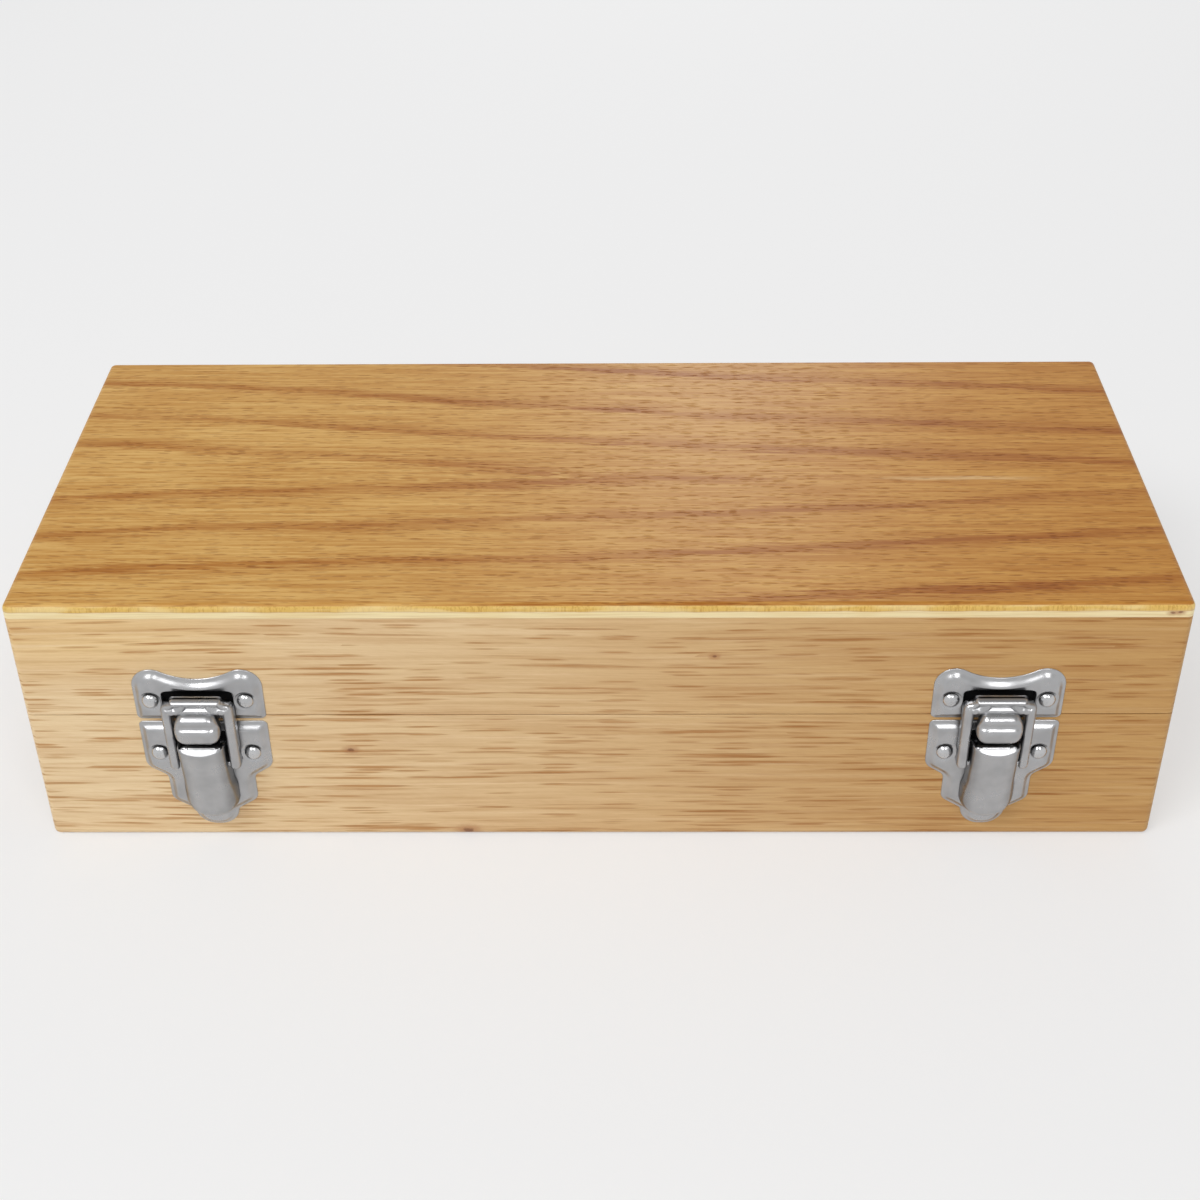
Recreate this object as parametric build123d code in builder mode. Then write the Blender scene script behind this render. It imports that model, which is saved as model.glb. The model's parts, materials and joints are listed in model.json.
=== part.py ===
# Wooden microphone box: an oak case with a hinged plywood-topped lid, two toggle latches on the front,
# two butt hinges at the back and a cut foam lining in both halves.
# Millimetres. The origin is the middle of the underside, +X runs along the box, +Y to its back, +Z up.
from build123d import *
import os
from math import acos, asin, atan2, cos, degrees, hypot, radians, tan

# Case sizes
box_length = 340.0
box_width = 144.0
box_height = 88.0
split_height = 48.0  # top edge of the lower half
lid_gap = 0.3  # daylight between the two halves when the box is shut
board = 10.0  # thickness of the frame boards
rabbet_depth = 5.0  # how far the side boards and the bottom panel sit into the frame
top_panel = 4.6
bottom_panel = 5.0
corner_round = 2.0  # upright corners
foot_round = 2.0  # edges that the box stands on
top_edge_round = 1.8  # worked round the top panel, through its plies

# Lining sizes
foam_side_gap = 0.3
foam_rim_drop = 1.0  # the foam ends this far short of the edge of its half
body_radius = 28.0  # the microphone's body in the lining
body_length = 130.0
head_radius = 31.0  # the microphone's head in the lining
head_length = 84.0
head_dome = 22.0  # rounded end of the head
neck_length = 8.0  # taper between the body and the head
finger_well_radius = 15.0
finger_well_depth = 22.0
finger_well_spacing = 56.0  # between the two wells, across the body

# Hinge sizes
hinge_inset = 75.0  # from an end of the box to the middle of a hinge
hinge_length = 30.0
hinge_leaf = 1.0
hinge_leaf_reach = 8.0  # how far a leaf runs in over the board
hinge_knuckle_radius = 2.2
hinge_knuckle_count = 5
hinge_knuckle_gap = 0.15
hinge_pin_radius = 1.0
hinge_stand_off = 0.3  # from the back face to the knuckles
hinge_screw_spacing = 18.0
hinge_screw_radius = 1.1
hinge_screw_head_radius = 2.1
hinge_screw_length = 12.0
mortise_gap = 0.1  # round a leaf in its mortise
running_gap = 0.05  # round a pin or screw in its hole

# Latch plate sizes. Heights are above the split, reaches are out from the front face.
latch_inset = 52.5  # from an end of the box to the middle of a latch
plate_thickness = 2.0
plate_edge_round = 1.2
plate_corner_round = 1.6
strike_bottom = -1.0
strike_lobe_spacing = 26.4
strike_lobe_radius = 6.0
strike_lobe_height = 11.2
strike_dip_height = 13.8
strike_window_width = 20.8
strike_window_bottom = 1.4
strike_window_top = 10.5
strike_window_round = 1.0
catch_width = 11.0
catch_reach = 3.6
catch_top = 3.4
catch_sheet = 1.2
keeper_width = 38.4
keeper_top = -2.0
keeper_shoulder = -19.2
keeper_neck = -23.2
keeper_waist_width = 26.4
keeper_waist_end = -32.4
keeper_tip_start = -36.0
keeper_tip_width = 14.4
keeper_bottom = -42.8
keeper_shoulder_round = 4.0
keeper_neck_round = 2.6
keeper_waist_round = 3.4
keeper_tip_hollow = 1.4  # where the waist runs into the tip
keeper_tip_round = 5.6
keeper_window_width = 13.8
keeper_window_top = -4.4
keeper_window_bottom = -8.5
plate_screw_spacing = 28.0
strike_screw_height = 6.8
keeper_screw_height = -13.0
plate_screw_radius = 1.3
plate_screw_length = 8.0  # how far a screw runs into the board
plate_screw_head_radius = 2.5
plate_screw_head_rise = 1.5

# Lever sizes
lever_pivot_reach = 5.7
lever_pivot_height = -8.4
lever_pin_radius = 1.1
lever_top = -5.0
lever_top_reach = 9.2
lever_brow = -6.7  # where the bevel of the top edge meets the front
lever_brow_reach = 10.4
lever_tail = -36.6
lever_tail_reach = 3.5
lever_back_reach = 2.35
lever_side_top = -7.4
lever_width = 12.6  # across its face
lever_foot_width = 14.4  # where its walls come down to the plate
lever_tail_width = 16.8  # across the flare of its tail
lever_flare_start = -21.6
lever_flare_end = -25.4
lever_draft = 8.0  # lean of the walls, in degrees
lever_flare_lean = 40.0  # lean of the walls at the flare, in degrees
lever_corner_round = 2.4
lever_flare_round = 6.0
lever_tail_round = 7.9
lever_crown_radius = 15.0
lever_edge_round = 2.4
lever_sheet = 1.1
ear_radius = 1.9
ear_thickness = 1.0
ear_gap = 0.2  # between an ear and the lever's wall
ear_foot_low = -12.2
ear_foot_high = -8.7

# Bail sizes
bail_pivot_reach = 4.2
bail_pivot_height = -15.0
bail_pin_radius = 0.95
bail_width = 21.8
bail_arm_width = 3.4
bail_arm_depth = 3.8
bail_top = 10.9
bail_shoulder_radius = 4.2
bail_edge_round = 1.5
crossbar_bottom = 5.2
crossbar_back_reach = 3.9
claw_width = 13.2
claw_sheet = 1.2
claw_reach = 8.9
claw_bottom = -3.5
claw_hollow = 1.3  # how far the claw's inside bows out
claw_crown = 2.1  # how far its outside bows out
claw_edge_round = 0.8

# Worked out from the sizes above
front_y = -box_width / 2
back_y = box_width / 2
lap = board - rabbet_depth  # what stays of a board past its rabbet
side_x = box_length / 2 - board / 2
side_length = box_width - 2 * lap
lid_bottom = split_height + lid_gap
lid_frame_top = box_height - top_panel
foam_length = box_length - 2 * board - 2 * foam_side_gap
foam_width = box_width - 2 * board - 2 * foam_side_gap
foam_bottom = bottom_panel
foam_top = split_height - foam_rim_drop
lid_foam_bottom = lid_bottom + foam_rim_drop
hinge_x = box_length / 2 - hinge_inset
latch_x = box_length / 2 - latch_inset
plate_screw_x = plate_screw_spacing / 2  # from the middle of a latch
hinge_axis_y = back_y + hinge_stand_off + hinge_knuckle_radius
hinge_axis_z = split_height + lid_gap / 2
hinge_screw_y = back_y - hinge_leaf_reach / 2
knuckle_pitch = hinge_length / hinge_knuckle_count
cavity_length = body_length + neck_length + head_length
bail_back_reach = bail_pivot_reach - bail_arm_depth / 2
bail_front_reach = bail_pivot_reach + bail_arm_depth / 2
bail_bottom = bail_pivot_height - bail_arm_depth / 2
bail_opening = bail_width - 2 * bail_arm_width
ear_outside = lever_width / 2 - lever_sheet - ear_gap
clear_of_all = 20.0  # a cut's length where it only has to run out of the piece
sides = {"left": -1, "right": 1}

RISING = (Align.CENTER, Align.CENTER, Align.MIN)
HANGING = (Align.CENTER, Align.CENTER, Align.MAX)


def face_plane(centre_x, reach=0.0):
    """A plane on the front face: x along the box, y up from the split, the normal outwards."""
    return Plane(origin=(centre_x, front_y - reach, split_height), x_dir=(1, 0, 0), z_dir=(0, -1, 0))


def side_plane(centre_x):
    """An upright plane across the front: x outwards from the face, y up from the split."""
    return Plane(origin=(centre_x, front_y, split_height), x_dir=(0, -1, 0), z_dir=(-1, 0, 0))


def long_board(side, low, high, takes_bottom):
    """A front (side -1) or back (side 1) board, whose laps cover the ends of the side boards."""
    rabbet_y = side * (box_width / 2 - lap - rabbet_depth / 2)
    with BuildPart() as blank:
        with Locations((0, side * (box_width / 2 - board / 2), low)):
            Box(box_length, board, high - low, align=RISING)
        corners = blank.edges().filter_by(Axis.Z).sort_by(lambda edge: abs(edge.center().Y))[-2:]
        fillet(corners, corner_round)
        if takes_bottom:
            foot = blank.faces().sort_by(Axis.Z)[0].edges()
            fillet(foot.sort_by(lambda edge: abs(edge.center().Y))[1:], foot_round)
        with Locations((-side_x, rabbet_y, low), (side_x, rabbet_y, low)):
            Box(board, rabbet_depth, high - low, align=RISING, mode=Mode.SUBTRACT)
        if takes_bottom:
            with Locations((0, rabbet_y, low)):
                Box(box_length - 2 * lap, rabbet_depth, bottom_panel, align=RISING, mode=Mode.SUBTRACT)
    return blank.part


def side_board(side, low, high, takes_bottom):
    """A left (side -1) or right (side 1) board, which sits between the laps of the long boards."""
    with BuildPart() as blank:
        with Locations((side * side_x, 0, low)):
            Box(board, side_length, high - low, align=RISING)
        if takes_bottom:
            foot = blank.edges().filter_by(Axis.Y).group_by(Axis.Z)[0]
            fillet(foot.sort_by(lambda edge: abs(edge.center().X))[-1], foot_round)
            with Locations((side * (box_length / 2 - lap - rabbet_depth / 2), 0, low)):
                Box(rabbet_depth, side_length, bottom_panel, align=RISING, mode=Mode.SUBTRACT)
    return blank.part


def microphone():
    """The room for the microphone: body, neck and domed head turned about the line between the halves."""
    body_end = -cavity_length / 2
    neck_start = body_end + body_length
    head_start = neck_start + neck_length
    dome_start = head_start + head_length - head_dome
    with BuildPart() as room:
        with BuildSketch(Plane(origin=(0, 0, hinge_axis_z), x_dir=(1, 0, 0), z_dir=(0, -1, 0))):
            with BuildLine():
                outline = Polyline(
                    (body_end, 0),
                    (body_end, body_radius),
                    (neck_start, body_radius),
                    (head_start, head_radius),
                    (dome_start, head_radius),
                )
                dome = EllipticalCenterArc((dome_start, 0), head_dome, head_radius, 0, arc_size=90)
                Line(dome @ 0, outline @ 0)
            make_face()
        revolve(axis=Axis((0, 0, hinge_axis_z), (1, 0, 0)))
    return room.part


def plate_screw():
    """A domed-head screw about Z for a latch plate: the underside of its head is at 0, its point below."""
    point = -plate_thickness - plate_screw_length
    dome_radius = (plate_screw_head_radius**2 + plate_screw_head_rise**2) / (2 * plate_screw_head_rise)
    dome_start = degrees(acos(plate_screw_head_radius / dome_radius))
    with BuildPart() as screw:
        with BuildSketch(Plane.XZ):
            with BuildLine():
                CenterArc((0, plate_screw_head_rise - dome_radius), dome_radius, dome_start, 90 - dome_start)
                Polyline(
                    (0, plate_screw_head_rise),
                    (0, point),
                    (plate_screw_radius, point + plate_screw_radius),
                    (plate_screw_radius, 0),
                    (plate_screw_head_radius, 0),
                )
            make_face()
        revolve(axis=Axis.Z)
    return screw.part


def flush_screw():
    """A countersunk hinge screw about Z: the flat of its head is at 0 and its point below."""
    with BuildPart() as screw:
        with BuildSketch(Plane.XZ):
            with BuildLine():
                Polyline(
                    (0, 0),
                    (hinge_screw_head_radius, 0),
                    (hinge_screw_radius, -hinge_leaf),
                    (hinge_screw_radius, hinge_screw_radius - hinge_screw_length),
                    (0, -hinge_screw_length),
                    (0, 0),
                )
            make_face()
        revolve(axis=Axis.Z)
    return screw.part


def hinge_screw_places(face_z, upright):
    """One place for each hinge screw, its head in the leaf's face; upright ones point down."""
    turn = 0 if upright else 180
    return [
        Location((side * hinge_x + step * hinge_screw_spacing / 2, hinge_screw_y, face_z), (turn, 0, 0))
        for side in (-1, 1)
        for step in (-1, 1)
    ]


def hinge_leaf_part(side, face_z, first_knuckle, upright):
    """A butt hinge's leaf in its mortise, with every second knuckle from first_knuckle."""
    centre_x = side * hinge_x
    inner_y = back_y - hinge_leaf_reach
    leaf_align = (Align.CENTER, Align.MIN, Align.MAX if upright else Align.MIN)
    screw_turn = 0 if upright else 180
    with BuildPart() as leaf:
        with Locations((centre_x, inner_y, face_z)):
            Box(hinge_length, hinge_leaf_reach, hinge_leaf, align=leaf_align)
        for index in range(first_knuckle, hinge_knuckle_count, 2):
            knuckle_x = centre_x + (index - (hinge_knuckle_count - 1) / 2) * knuckle_pitch
            width = knuckle_pitch - hinge_knuckle_gap
            with Locations((knuckle_x, inner_y, face_z)):
                Box(width, hinge_axis_y - inner_y, hinge_leaf, align=leaf_align)
            with Locations(Location((knuckle_x, hinge_axis_y, hinge_axis_z), (0, 90, 0))):
                Cylinder(hinge_knuckle_radius, width)
        with Locations(Location((centre_x, hinge_axis_y, hinge_axis_z), (0, 90, 0))):
            Cylinder(hinge_pin_radius + running_gap, hinge_length, mode=Mode.SUBTRACT)
        with Locations(
            Location((centre_x - hinge_screw_spacing / 2, hinge_screw_y, face_z), (screw_turn, 0, 0)),
            Location((centre_x + hinge_screw_spacing / 2, hinge_screw_y, face_z), (screw_turn, 0, 0)),
        ):
            Cone(
                hinge_screw_radius,
                hinge_screw_head_radius,
                hinge_leaf,
                align=HANGING,
                mode=Mode.SUBTRACT,
            )
    return leaf.part


def strike_plate(centre_x):
    """The lid's plate: two lobes over a dip, a window and, on the window's sill, the catch."""
    dip_rise = strike_dip_height - strike_lobe_height
    lobe_x = strike_lobe_spacing / 2
    dip_radius = (lobe_x**2 + dip_rise**2 - strike_lobe_radius**2) / (2 * (strike_lobe_radius - dip_rise))
    dip_centre = strike_dip_height + dip_radius
    lean = degrees(atan2(lobe_x, dip_centre - strike_lobe_height))
    with BuildPart() as plate:
        with BuildSketch(face_plane(centre_x)) as outline:
            with BuildLine():
                half_width = lobe_x + strike_lobe_radius
                Polyline((0, strike_bottom), (half_width, strike_bottom), (half_width, strike_lobe_height))
                CenterArc((lobe_x, strike_lobe_height), strike_lobe_radius, 0, 90 + lean)
                CenterArc((0, dip_centre), dip_radius, -90, lean)
                mirror(about=Plane.YZ)
            make_face()
            fillet(outline.vertices().group_by(Axis.Y)[0], plate_corner_round)
        extrude(amount=plate_thickness)
        fillet(plate.faces().sort_by(Axis.Y)[0].outer_wire().edges(), plate_edge_round)
        with BuildSketch(face_plane(centre_x)) as openings:
            with Locations((0, (strike_window_bottom + strike_window_top) / 2)):
                Rectangle(strike_window_width, strike_window_top - strike_window_bottom)
            fillet(openings.vertices(), strike_window_round)
            with Locations(
                (-plate_screw_x, strike_screw_height), (plate_screw_x, strike_screw_height)
            ):
                Circle(plate_screw_radius + running_gap)
        extrude(amount=plate_thickness, mode=Mode.SUBTRACT)
        with BuildSketch(side_plane(centre_x)) as catch:
            with BuildLine():
                sill = strike_window_bottom
                Polyline(
                    (plate_thickness / 2, sill - catch_sheet),
                    (catch_reach, sill - catch_sheet),
                    (catch_reach, catch_top),
                    (catch_reach - catch_sheet, catch_top),
                    (catch_reach - catch_sheet, sill),
                    (plate_thickness / 2, sill),
                    close=True,
                )
            make_face()
            fillet(catch.vertices().group_by(Axis.X)[-1].sort_by(Axis.Y)[0], catch_sheet * 0.6)
        extrude(amount=catch_width / 2, both=True)
    return plate.part


def keeper_plate(centre_x):
    """The base's plate: shoulders, waist and rounded tip, with two ears lanced up out of its window."""
    half_outline = [
        (keeper_width / 2, keeper_top, plate_corner_round),
        (keeper_width / 2, keeper_shoulder, keeper_shoulder_round),
        (keeper_waist_width / 2, keeper_neck, keeper_neck_round),
        (keeper_waist_width / 2, keeper_waist_end, keeper_waist_round),
        (keeper_tip_width / 2, keeper_tip_start, keeper_tip_hollow),
        (keeper_tip_width / 2, keeper_bottom, keeper_tip_round),
    ]
    right = [(x, y) for x, y, radius in half_outline]
    left = [(-x, y) for x, y, radius in reversed(half_outline)]
    rounds = [radius for x, y, radius in half_outline]
    with BuildPart() as plate:
        with BuildSketch(face_plane(centre_x)):
            with BuildLine():
                FilletPolyline(*right, *left, radius=rounds + rounds[::-1], close=True)
            make_face()
        extrude(amount=plate_thickness)
        fillet(plate.faces().sort_by(Axis.Y)[0].outer_wire().edges(), plate_edge_round)
        with BuildSketch(face_plane(centre_x)):
            with Locations((0, (keeper_window_top + keeper_window_bottom) / 2)):
                Rectangle(keeper_window_width, keeper_window_top - keeper_window_bottom)
            with Locations((0, (keeper_window_bottom + ear_foot_low) / 2)):
                Rectangle(2 * (ear_outside - ear_thickness), keeper_window_bottom - ear_foot_low)
            with Locations(
                (-plate_screw_x, keeper_screw_height), (plate_screw_x, keeper_screw_height)
            ):
                Circle(plate_screw_radius + running_gap)
        extrude(amount=plate_thickness, mode=Mode.SUBTRACT)
        for side in (-1, 1):
            with BuildSketch(side_plane(centre_x + side * (ear_outside - ear_thickness / 2))):
                with Locations((lever_pivot_reach, lever_pivot_height)):
                    Circle(ear_radius)
                with Locations((plate_thickness / 2, (ear_foot_low + ear_foot_high) / 2)):
                    Rectangle(plate_thickness, ear_foot_high - ear_foot_low)
                make_hull()
            extrude(amount=ear_thickness / 2, both=True)
        with BuildSketch(side_plane(centre_x)):
            with Locations((lever_pivot_reach, lever_pivot_height)):
                Circle(lever_pin_radius + running_gap)
        extrude(amount=ear_outside + ear_thickness, both=True, mode=Mode.SUBTRACT)
    return plate.part


def lever_form(centre_x, inset):
    """The lever's outer form, or with an inset the hollow inside it, which runs out at the back and top."""
    run_out = 3.0 if inset else 0.0
    fall = hypot(lever_brow_reach - lever_tail_reach, lever_brow - lever_tail)
    down_front = (0, (lever_brow_reach - lever_tail_reach) / fall, (lever_tail - lever_brow) / fall)
    brow = Vector(centre_x, front_y - lever_brow_reach, split_height + lever_brow)
    crown_start = Plane(origin=brow - Vector(down_front) * clear_of_all, x_dir=(1, 0, 0), z_dir=down_front)
    with BuildPart() as form:
        with BuildSketch(side_plane(centre_x)):
            with BuildLine():
                Polyline(
                    (lever_back_reach - run_out, lever_tail),
                    (lever_tail_reach - inset, lever_tail),
                    (lever_brow_reach - inset, lever_brow),
                    (lever_top_reach - inset, lever_top),
                    (lever_top_reach - (inset or lever_sheet), lever_top + run_out),
                    (lever_back_reach - run_out, (lever_top if inset else lever_side_top) + run_out),
                    close=True,
                )
            make_face()
        extrude(amount=lever_tail_width, both=True)
        drafted_top = lever_top + run_out + (lever_top_reach - lever_back_reach) * tan(radians(lever_draft))
        half_foot = lever_foot_width / 2 - inset
        half_tail = lever_tail_width / 2 - inset
        right = [
            (half_foot, drafted_top),
            (half_foot, lever_flare_start),
            (half_tail, lever_flare_end),
            (half_tail, lever_tail + inset),
        ]
        left = [(-x, y) for x, y in reversed(right)]
        rounds = [lever_corner_round, lever_flare_round, lever_flare_round, lever_tail_round - inset]
        with BuildSketch(face_plane(centre_x, lever_back_reach)):
            with BuildLine():
                FilletPolyline(*right, *left, radius=rounds + rounds[::-1], close=True)
            make_face()
        foot = extrude(amount=lever_brow_reach, taper=lever_draft, mode=Mode.PRIVATE)
        add(foot, mode=Mode.INTERSECT)
        half_face = lever_width / 2 - inset
        shoulder = (lever_crown_radius - inset) * cos(asin(half_face / (lever_crown_radius - inset)))
        edge = shoulder - lever_crown_radius
        flare = half_face + clear_of_all * tan(radians(lever_flare_lean))
        with BuildSketch(crown_start) as section:
            with BuildLine():
                ThreePointArc((-half_face, edge), (0, -inset), (half_face, edge))
                Polyline(
                    (half_face, edge),
                    (flare, edge - clear_of_all),
                    (-flare, edge - clear_of_all),
                    (-half_face, edge),
                )
            make_face()
            if not inset:
                fillet(section.vertices().group_by(Axis.Y)[-1], lever_edge_round)
        extrude(amount=3 * clear_of_all, mode=Mode.INTERSECT)
    return form.part


def lever_part(centre_x):
    """The lever: a crowned channel with drafted walls and a flared tail, bored for its two pins."""
    with BuildPart() as lever:
        add(lever_form(centre_x, 0.0))
        add(lever_form(centre_x, lever_sheet), mode=Mode.SUBTRACT)
        with BuildSketch(side_plane(centre_x)):
            with Locations((lever_pivot_reach, lever_pivot_height)):
                Circle(lever_pin_radius + running_gap)
            with Locations((bail_pivot_reach, bail_pivot_height)):
                Circle(bail_pin_radius + running_gap)
        extrude(amount=lever_width, both=True, mode=Mode.SUBTRACT)
    return lever.part


def bail_part(centre_x):
    """The bail: two arms and a crossbar, with the full-bodied claw hanging from the crossbar."""
    with BuildPart() as bail:
        with BuildSketch(face_plane(centre_x, bail_back_reach)) as outline:
            with Locations((0, (bail_top + bail_bottom) / 2)):
                Rectangle(bail_width, bail_top - bail_bottom)
            fillet(outline.vertices().group_by(Axis.Y)[-1], bail_shoulder_radius)
        extrude(amount=bail_arm_depth)
        rim = bail.faces().sort_by(Axis.Y)[0].outer_wire().edges()
        fillet(rim.sort_by(Axis.Z)[1:], bail_edge_round)
        with BuildSketch(face_plane(centre_x)):
            with Locations((0, (crossbar_bottom + bail_bottom) / 2)):
                Rectangle(bail_opening, crossbar_bottom - bail_bottom)
        extrude(amount=clear_of_all, mode=Mode.SUBTRACT)
        with BuildSketch(side_plane(centre_x)):
            with Locations((crossbar_back_reach / 2, (bail_top + crossbar_bottom) / 2)):
                Rectangle(crossbar_back_reach, bail_top - crossbar_bottom)
        extrude(amount=bail_opening / 2, both=True, mode=Mode.SUBTRACT)
        with BuildSketch(side_plane(centre_x)):
            with Locations((bail_pivot_reach, bail_pivot_height)):
                Circle(bail_arm_depth / 2)
            with Locations((bail_pivot_reach, (bail_pivot_height + bail_top) / 2)):
                Rectangle(bail_arm_depth, bail_top - bail_pivot_height)
        extrude(amount=bail_width / 2, both=True, mode=Mode.INTERSECT)
        with BuildSketch(side_plane(centre_x)):
            with BuildLine():
                root_back = (crossbar_back_reach, crossbar_bottom)
                root_front = (bail_front_reach, crossbar_bottom)
                inside = SagittaArc(root_back, (claw_reach - claw_sheet, claw_bottom), claw_hollow)
                outside = SagittaArc(root_front, (claw_reach, claw_bottom), claw_crown)
                Line(inside @ 0, outside @ 0)
                Line(inside @ 1, outside @ 1)
            make_face()
        extrude(amount=claw_width / 2, both=True)
        claw_edges = bail.edges(Select.LAST).filter_by(GeomType.CIRCLE)
        fillet(claw_edges.sort_by(lambda edge: edge.center().Y)[:2], claw_edge_round)
        with BuildSketch(side_plane(centre_x)):
            with Locations((bail_pivot_reach, bail_pivot_height)):
                Circle(bail_pin_radius + running_gap)
        extrude(amount=bail_width / 2, both=True, mode=Mode.SUBTRACT)
    return bail.part


def cross_pin(centre_x, reach, height, radius, length):
    """A plain pin along the box at a latch, given by its reach from the front face and its height."""
    with BuildPart() as pin:
        with Locations(Location((centre_x, front_y - reach, split_height + height), (0, 90, 0))):
            Cylinder(radius, length)
        chamfer(pin.edges().filter_by(GeomType.CIRCLE), radius / 5)
    return pin.part


# Lower half of the case
with BuildPart() as base_front:
    add(long_board(-1, 0, split_height, True))
    for side in sides.values():
        with BuildSketch(face_plane(side * latch_x)):
            with Locations(
                (-plate_screw_x, keeper_screw_height), (plate_screw_x, keeper_screw_height)
            ):
                Circle(plate_screw_radius + running_gap)
        extrude(amount=-plate_screw_length, mode=Mode.SUBTRACT)

with BuildPart() as base_back:
    add(long_board(1, 0, split_height, True))
    with Locations((-hinge_x, back_y, split_height), (hinge_x, back_y, split_height)):
        Box(
            hinge_length + 2 * mortise_gap,
            2 * (hinge_leaf_reach + mortise_gap),
            2 * hinge_leaf,
            mode=Mode.SUBTRACT,
        )
    with Locations(*hinge_screw_places(split_height, True)):
        Cylinder(
            hinge_screw_radius + running_gap, hinge_screw_length, align=HANGING, mode=Mode.SUBTRACT
        )

with BuildPart() as base_left:
    add(side_board(-1, 0, split_height, True))

with BuildPart() as base_right:
    add(side_board(1, 0, split_height, True))

with BuildPart() as base_bottom:
    Box(box_length - 2 * lap, box_width - 2 * lap, bottom_panel, align=RISING)

# Upper half of the case
with BuildPart() as lid_front:
    add(long_board(-1, lid_bottom, lid_frame_top, False))
    for side in sides.values():
        with BuildSketch(face_plane(side * latch_x)):
            with Locations(
                (-plate_screw_x, strike_screw_height), (plate_screw_x, strike_screw_height)
            ):
                Circle(plate_screw_radius + running_gap)
        extrude(amount=-plate_screw_length, mode=Mode.SUBTRACT)

with BuildPart() as lid_back:
    add(long_board(1, lid_bottom, lid_frame_top, False))
    with Locations((-hinge_x, back_y, lid_bottom), (hinge_x, back_y, lid_bottom)):
        Box(
            hinge_length + 2 * mortise_gap,
            2 * (hinge_leaf_reach + mortise_gap),
            2 * hinge_leaf,
            mode=Mode.SUBTRACT,
        )
    with Locations(*hinge_screw_places(lid_bottom, False)):
        Cylinder(
            hinge_screw_radius + running_gap, hinge_screw_length, align=HANGING, mode=Mode.SUBTRACT
        )

with BuildPart() as lid_left:
    add(side_board(-1, lid_bottom, lid_frame_top, False))

with BuildPart() as lid_right:
    add(side_board(1, lid_bottom, lid_frame_top, False))

with BuildPart() as lid_top:
    with Locations((0, 0, lid_frame_top)):
        Box(box_length, box_width, top_panel, align=RISING)
    fillet(lid_top.edges().filter_by(Axis.Z), corner_round)
    fillet(lid_top.faces().sort_by(Axis.Z)[-1].edges(), top_edge_round)

# Lining
with BuildPart() as base_foam:
    with Locations((0, 0, foam_bottom)):
        Box(foam_length, foam_width, foam_top - foam_bottom, align=RISING)
    add(microphone(), mode=Mode.SUBTRACT)
    well_x = (body_length - cavity_length) / 2
    with Locations((well_x, -finger_well_spacing / 2, foam_top), (well_x, finger_well_spacing / 2, foam_top)):
        Cylinder(finger_well_radius, finger_well_depth, align=HANGING, mode=Mode.SUBTRACT)

with BuildPart() as lid_foam:
    with Locations((0, 0, lid_foam_bottom)):
        Box(foam_length, foam_width, lid_frame_top - lid_foam_bottom, align=RISING)
    add(microphone(), mode=Mode.SUBTRACT)

# Screws, each group in one piece's name
with BuildPart() as hinge_screws_base:
    for place in hinge_screw_places(split_height, True):
        add(flush_screw().moved(place))

with BuildPart() as hinge_screws_lid:
    for place in hinge_screw_places(lid_bottom, False):
        add(flush_screw().moved(place))

parts = {
    "base_front": base_front.part,
    "base_back": base_back.part,
    "base_left": base_left.part,
    "base_right": base_right.part,
    "base_bottom": base_bottom.part,
    "base_foam": base_foam.part,
    "lid_front": lid_front.part,
    "lid_back": lid_back.part,
    "lid_left": lid_left.part,
    "lid_right": lid_right.part,
    "lid_top": lid_top.part,
    "lid_foam": lid_foam.part,
    "hinge_screws_base": hinge_screws_base.part,
    "hinge_screws_lid": hinge_screws_lid.part,
}

# Hinges and latches, one of each on either side of the middle
for name, side in sides.items():
    centre_x = side * latch_x
    parts[f"hinge_leaf_base_{name}"] = hinge_leaf_part(side, split_height, 0, True)
    parts[f"hinge_leaf_lid_{name}"] = hinge_leaf_part(side, lid_bottom, 1, False)
    with BuildPart() as hinge_pin:
        with Locations(Location((side * hinge_x, hinge_axis_y, hinge_axis_z), (0, 90, 0))):
            Cylinder(hinge_pin_radius, hinge_length)
        chamfer(hinge_pin.edges().filter_by(GeomType.CIRCLE), hinge_pin_radius / 5)
    parts[f"hinge_pin_{name}"] = hinge_pin.part
    parts[f"strike_plate_{name}"] = strike_plate(centre_x)
    parts[f"keeper_plate_{name}"] = keeper_plate(centre_x)
    parts[f"lever_{name}"] = lever_part(centre_x)
    parts[f"bail_{name}"] = bail_part(centre_x)
    parts[f"lever_pin_{name}"] = cross_pin(
        centre_x, lever_pivot_reach, lever_pivot_height, lever_pin_radius, lever_width
    )
    parts[f"bail_pin_{name}"] = cross_pin(
        centre_x, bail_pivot_reach, bail_pivot_height, bail_pin_radius, bail_width - bail_edge_round
    )

for name, height in {"strike_screws": strike_screw_height, "keeper_screws": keeper_screw_height}.items():
    with BuildPart() as screws:
        for side in sides.values():
            for step in (-1, 1):
                screw_x = side * latch_x + step * plate_screw_x
                seat = Plane(
                    origin=(screw_x, front_y - plate_thickness, split_height + height),
                    x_dir=(1, 0, 0),
                    z_dir=(0, -1, 0),
                )
                add(plate_screw().moved(seat.location))
    parts[name] = screws.part

os.makedirs("parts", exist_ok=True)
for name, piece in parts.items():
    piece.label = name
    export_step(piece, f"parts/{name}.step")
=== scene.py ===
import json
import math

import bmesh
import bpy
import numpy as np
from bpy.props import FloatProperty, FloatVectorProperty, PointerProperty
from mathutils import Matrix, Vector


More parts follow.
